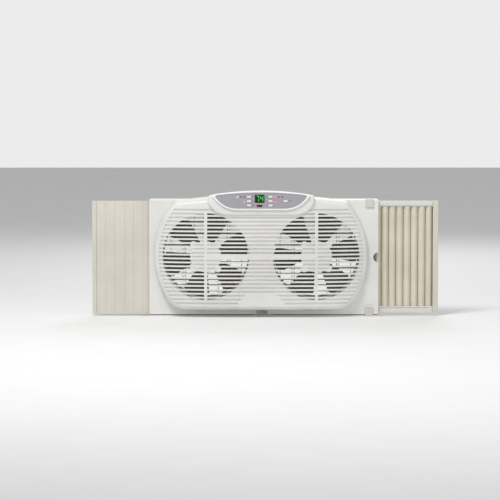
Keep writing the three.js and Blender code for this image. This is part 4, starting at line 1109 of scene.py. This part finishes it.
# %% Floor, lamps and world
deselect()
bpy.ops.mesh.primitive_plane_add(size=12, location=(0, 2.5, 0))
floor = bpy.context.object
floor.name = "floor"
bpy.ops.object.mode_set(mode="EDIT")
bpy.ops.mesh.subdivide(number_cuts=2)
bpy.ops.object.mode_set(mode="OBJECT")
floor.data.materials.append(plastic("floor_paint", screen(238, 238, 237), 0.7, 30, 0.0001, 0.01))


def area_lamp(name, place, target, size, power):
    """A square soft lamp that looks at the target."""
    deselect()
    bpy.ops.object.light_add(type="AREA", location=place)
    light = bpy.context.object
    light.name = name
    light.data.size = size
    light.data.energy = power
    aim = Vector(target) - Vector(place)
    light.rotation_euler = aim.to_track_quat("-Z", "Y").to_euler()
    print(name, power, "W")


area_lamp("key_lamp", (-0.7, -1.3, 2.3), (0, 0, 0.15), 0.9, 40)
area_lamp("fill_lamp", (1.7, -2.0, 0.9), (0, 0, 0.15), 1.3, 9)
area_lamp("back_lamp", (0.4, 2.0, 1.6), (0, 0, 0.2), 1.4, 14)
world = bpy.data.worlds.new("studio")
bpy.context.scene.world = world
world.use_nodes = True
sky, sky_links = world.node_tree.nodes, world.node_tree.links
background = sky["Background"]
background.inputs["Color"].default_value = (0.93, 0.94, 0.95, 1)
background.inputs["Strength"].default_value = 0.45
backdrop = sky.new("ShaderNodeBackground")
backdrop.inputs["Color"].default_value = (0.84, 0.84, 0.84, 1)
rays = sky.new("ShaderNodeLightPath")
seen = sky.new("ShaderNodeMath")
seen.operation = "MAXIMUM"
sky_links.new(rays.outputs["Is Camera Ray"], seen.inputs[0])
mirrored = sky.new("ShaderNodeMath")
mirrored.operation = "MAXIMUM"
sky_links.new(rays.outputs["Is Glossy Ray"], mirrored.inputs[0])
sky_links.new(rays.outputs["Is Transmission Ray"], mirrored.inputs[1])
sky_links.new(mirrored.outputs[0], seen.inputs[1])
either = sky.new("ShaderNodeMixShader")
sky_links.new(seen.outputs[0], either.inputs[0])
sky_links.new(background.outputs[0], either.inputs[1])
sky_links.new(backdrop.outputs[0], either.inputs[2])
sky_links.new(either.outputs[0], sky["World Output"].inputs["Surface"])

# %% [markdown]
# ## The camera
#
# The photograph was taken square on with a long lens, from a little above the fan: near and far
# pieces are drawn at the same scale, 2.51 mm of the fan to one picture element. So the camera
# stands six metres away and looks down by four and a half degrees. No lens shift is needed.

# %% A distant camera
camera_distance, camera_pitch = 6.0, math.radians(4.5)
picture_width = 1.255
aim_point = Vector((-0.0385, flange_y - 0.030, 0.170))
away = Vector((0, -math.cos(camera_pitch), math.sin(camera_pitch)))
deselect()
bpy.ops.object.camera_add(
    location=aim_point + away * camera_distance,
    rotation=(math.pi / 2 - camera_pitch, 0, 0),
)
camera = bpy.context.object
sensor_width = 36
camera.data.sensor_width = sensor_width
camera.data.lens = sensor_width * camera_distance / picture_width
camera.data.clip_end = 60
bpy.context.scene.camera = camera
bpy.context.scene.view_settings.view_transform = "Standard"
print("lens", round(camera.data.lens, 1), "mm")
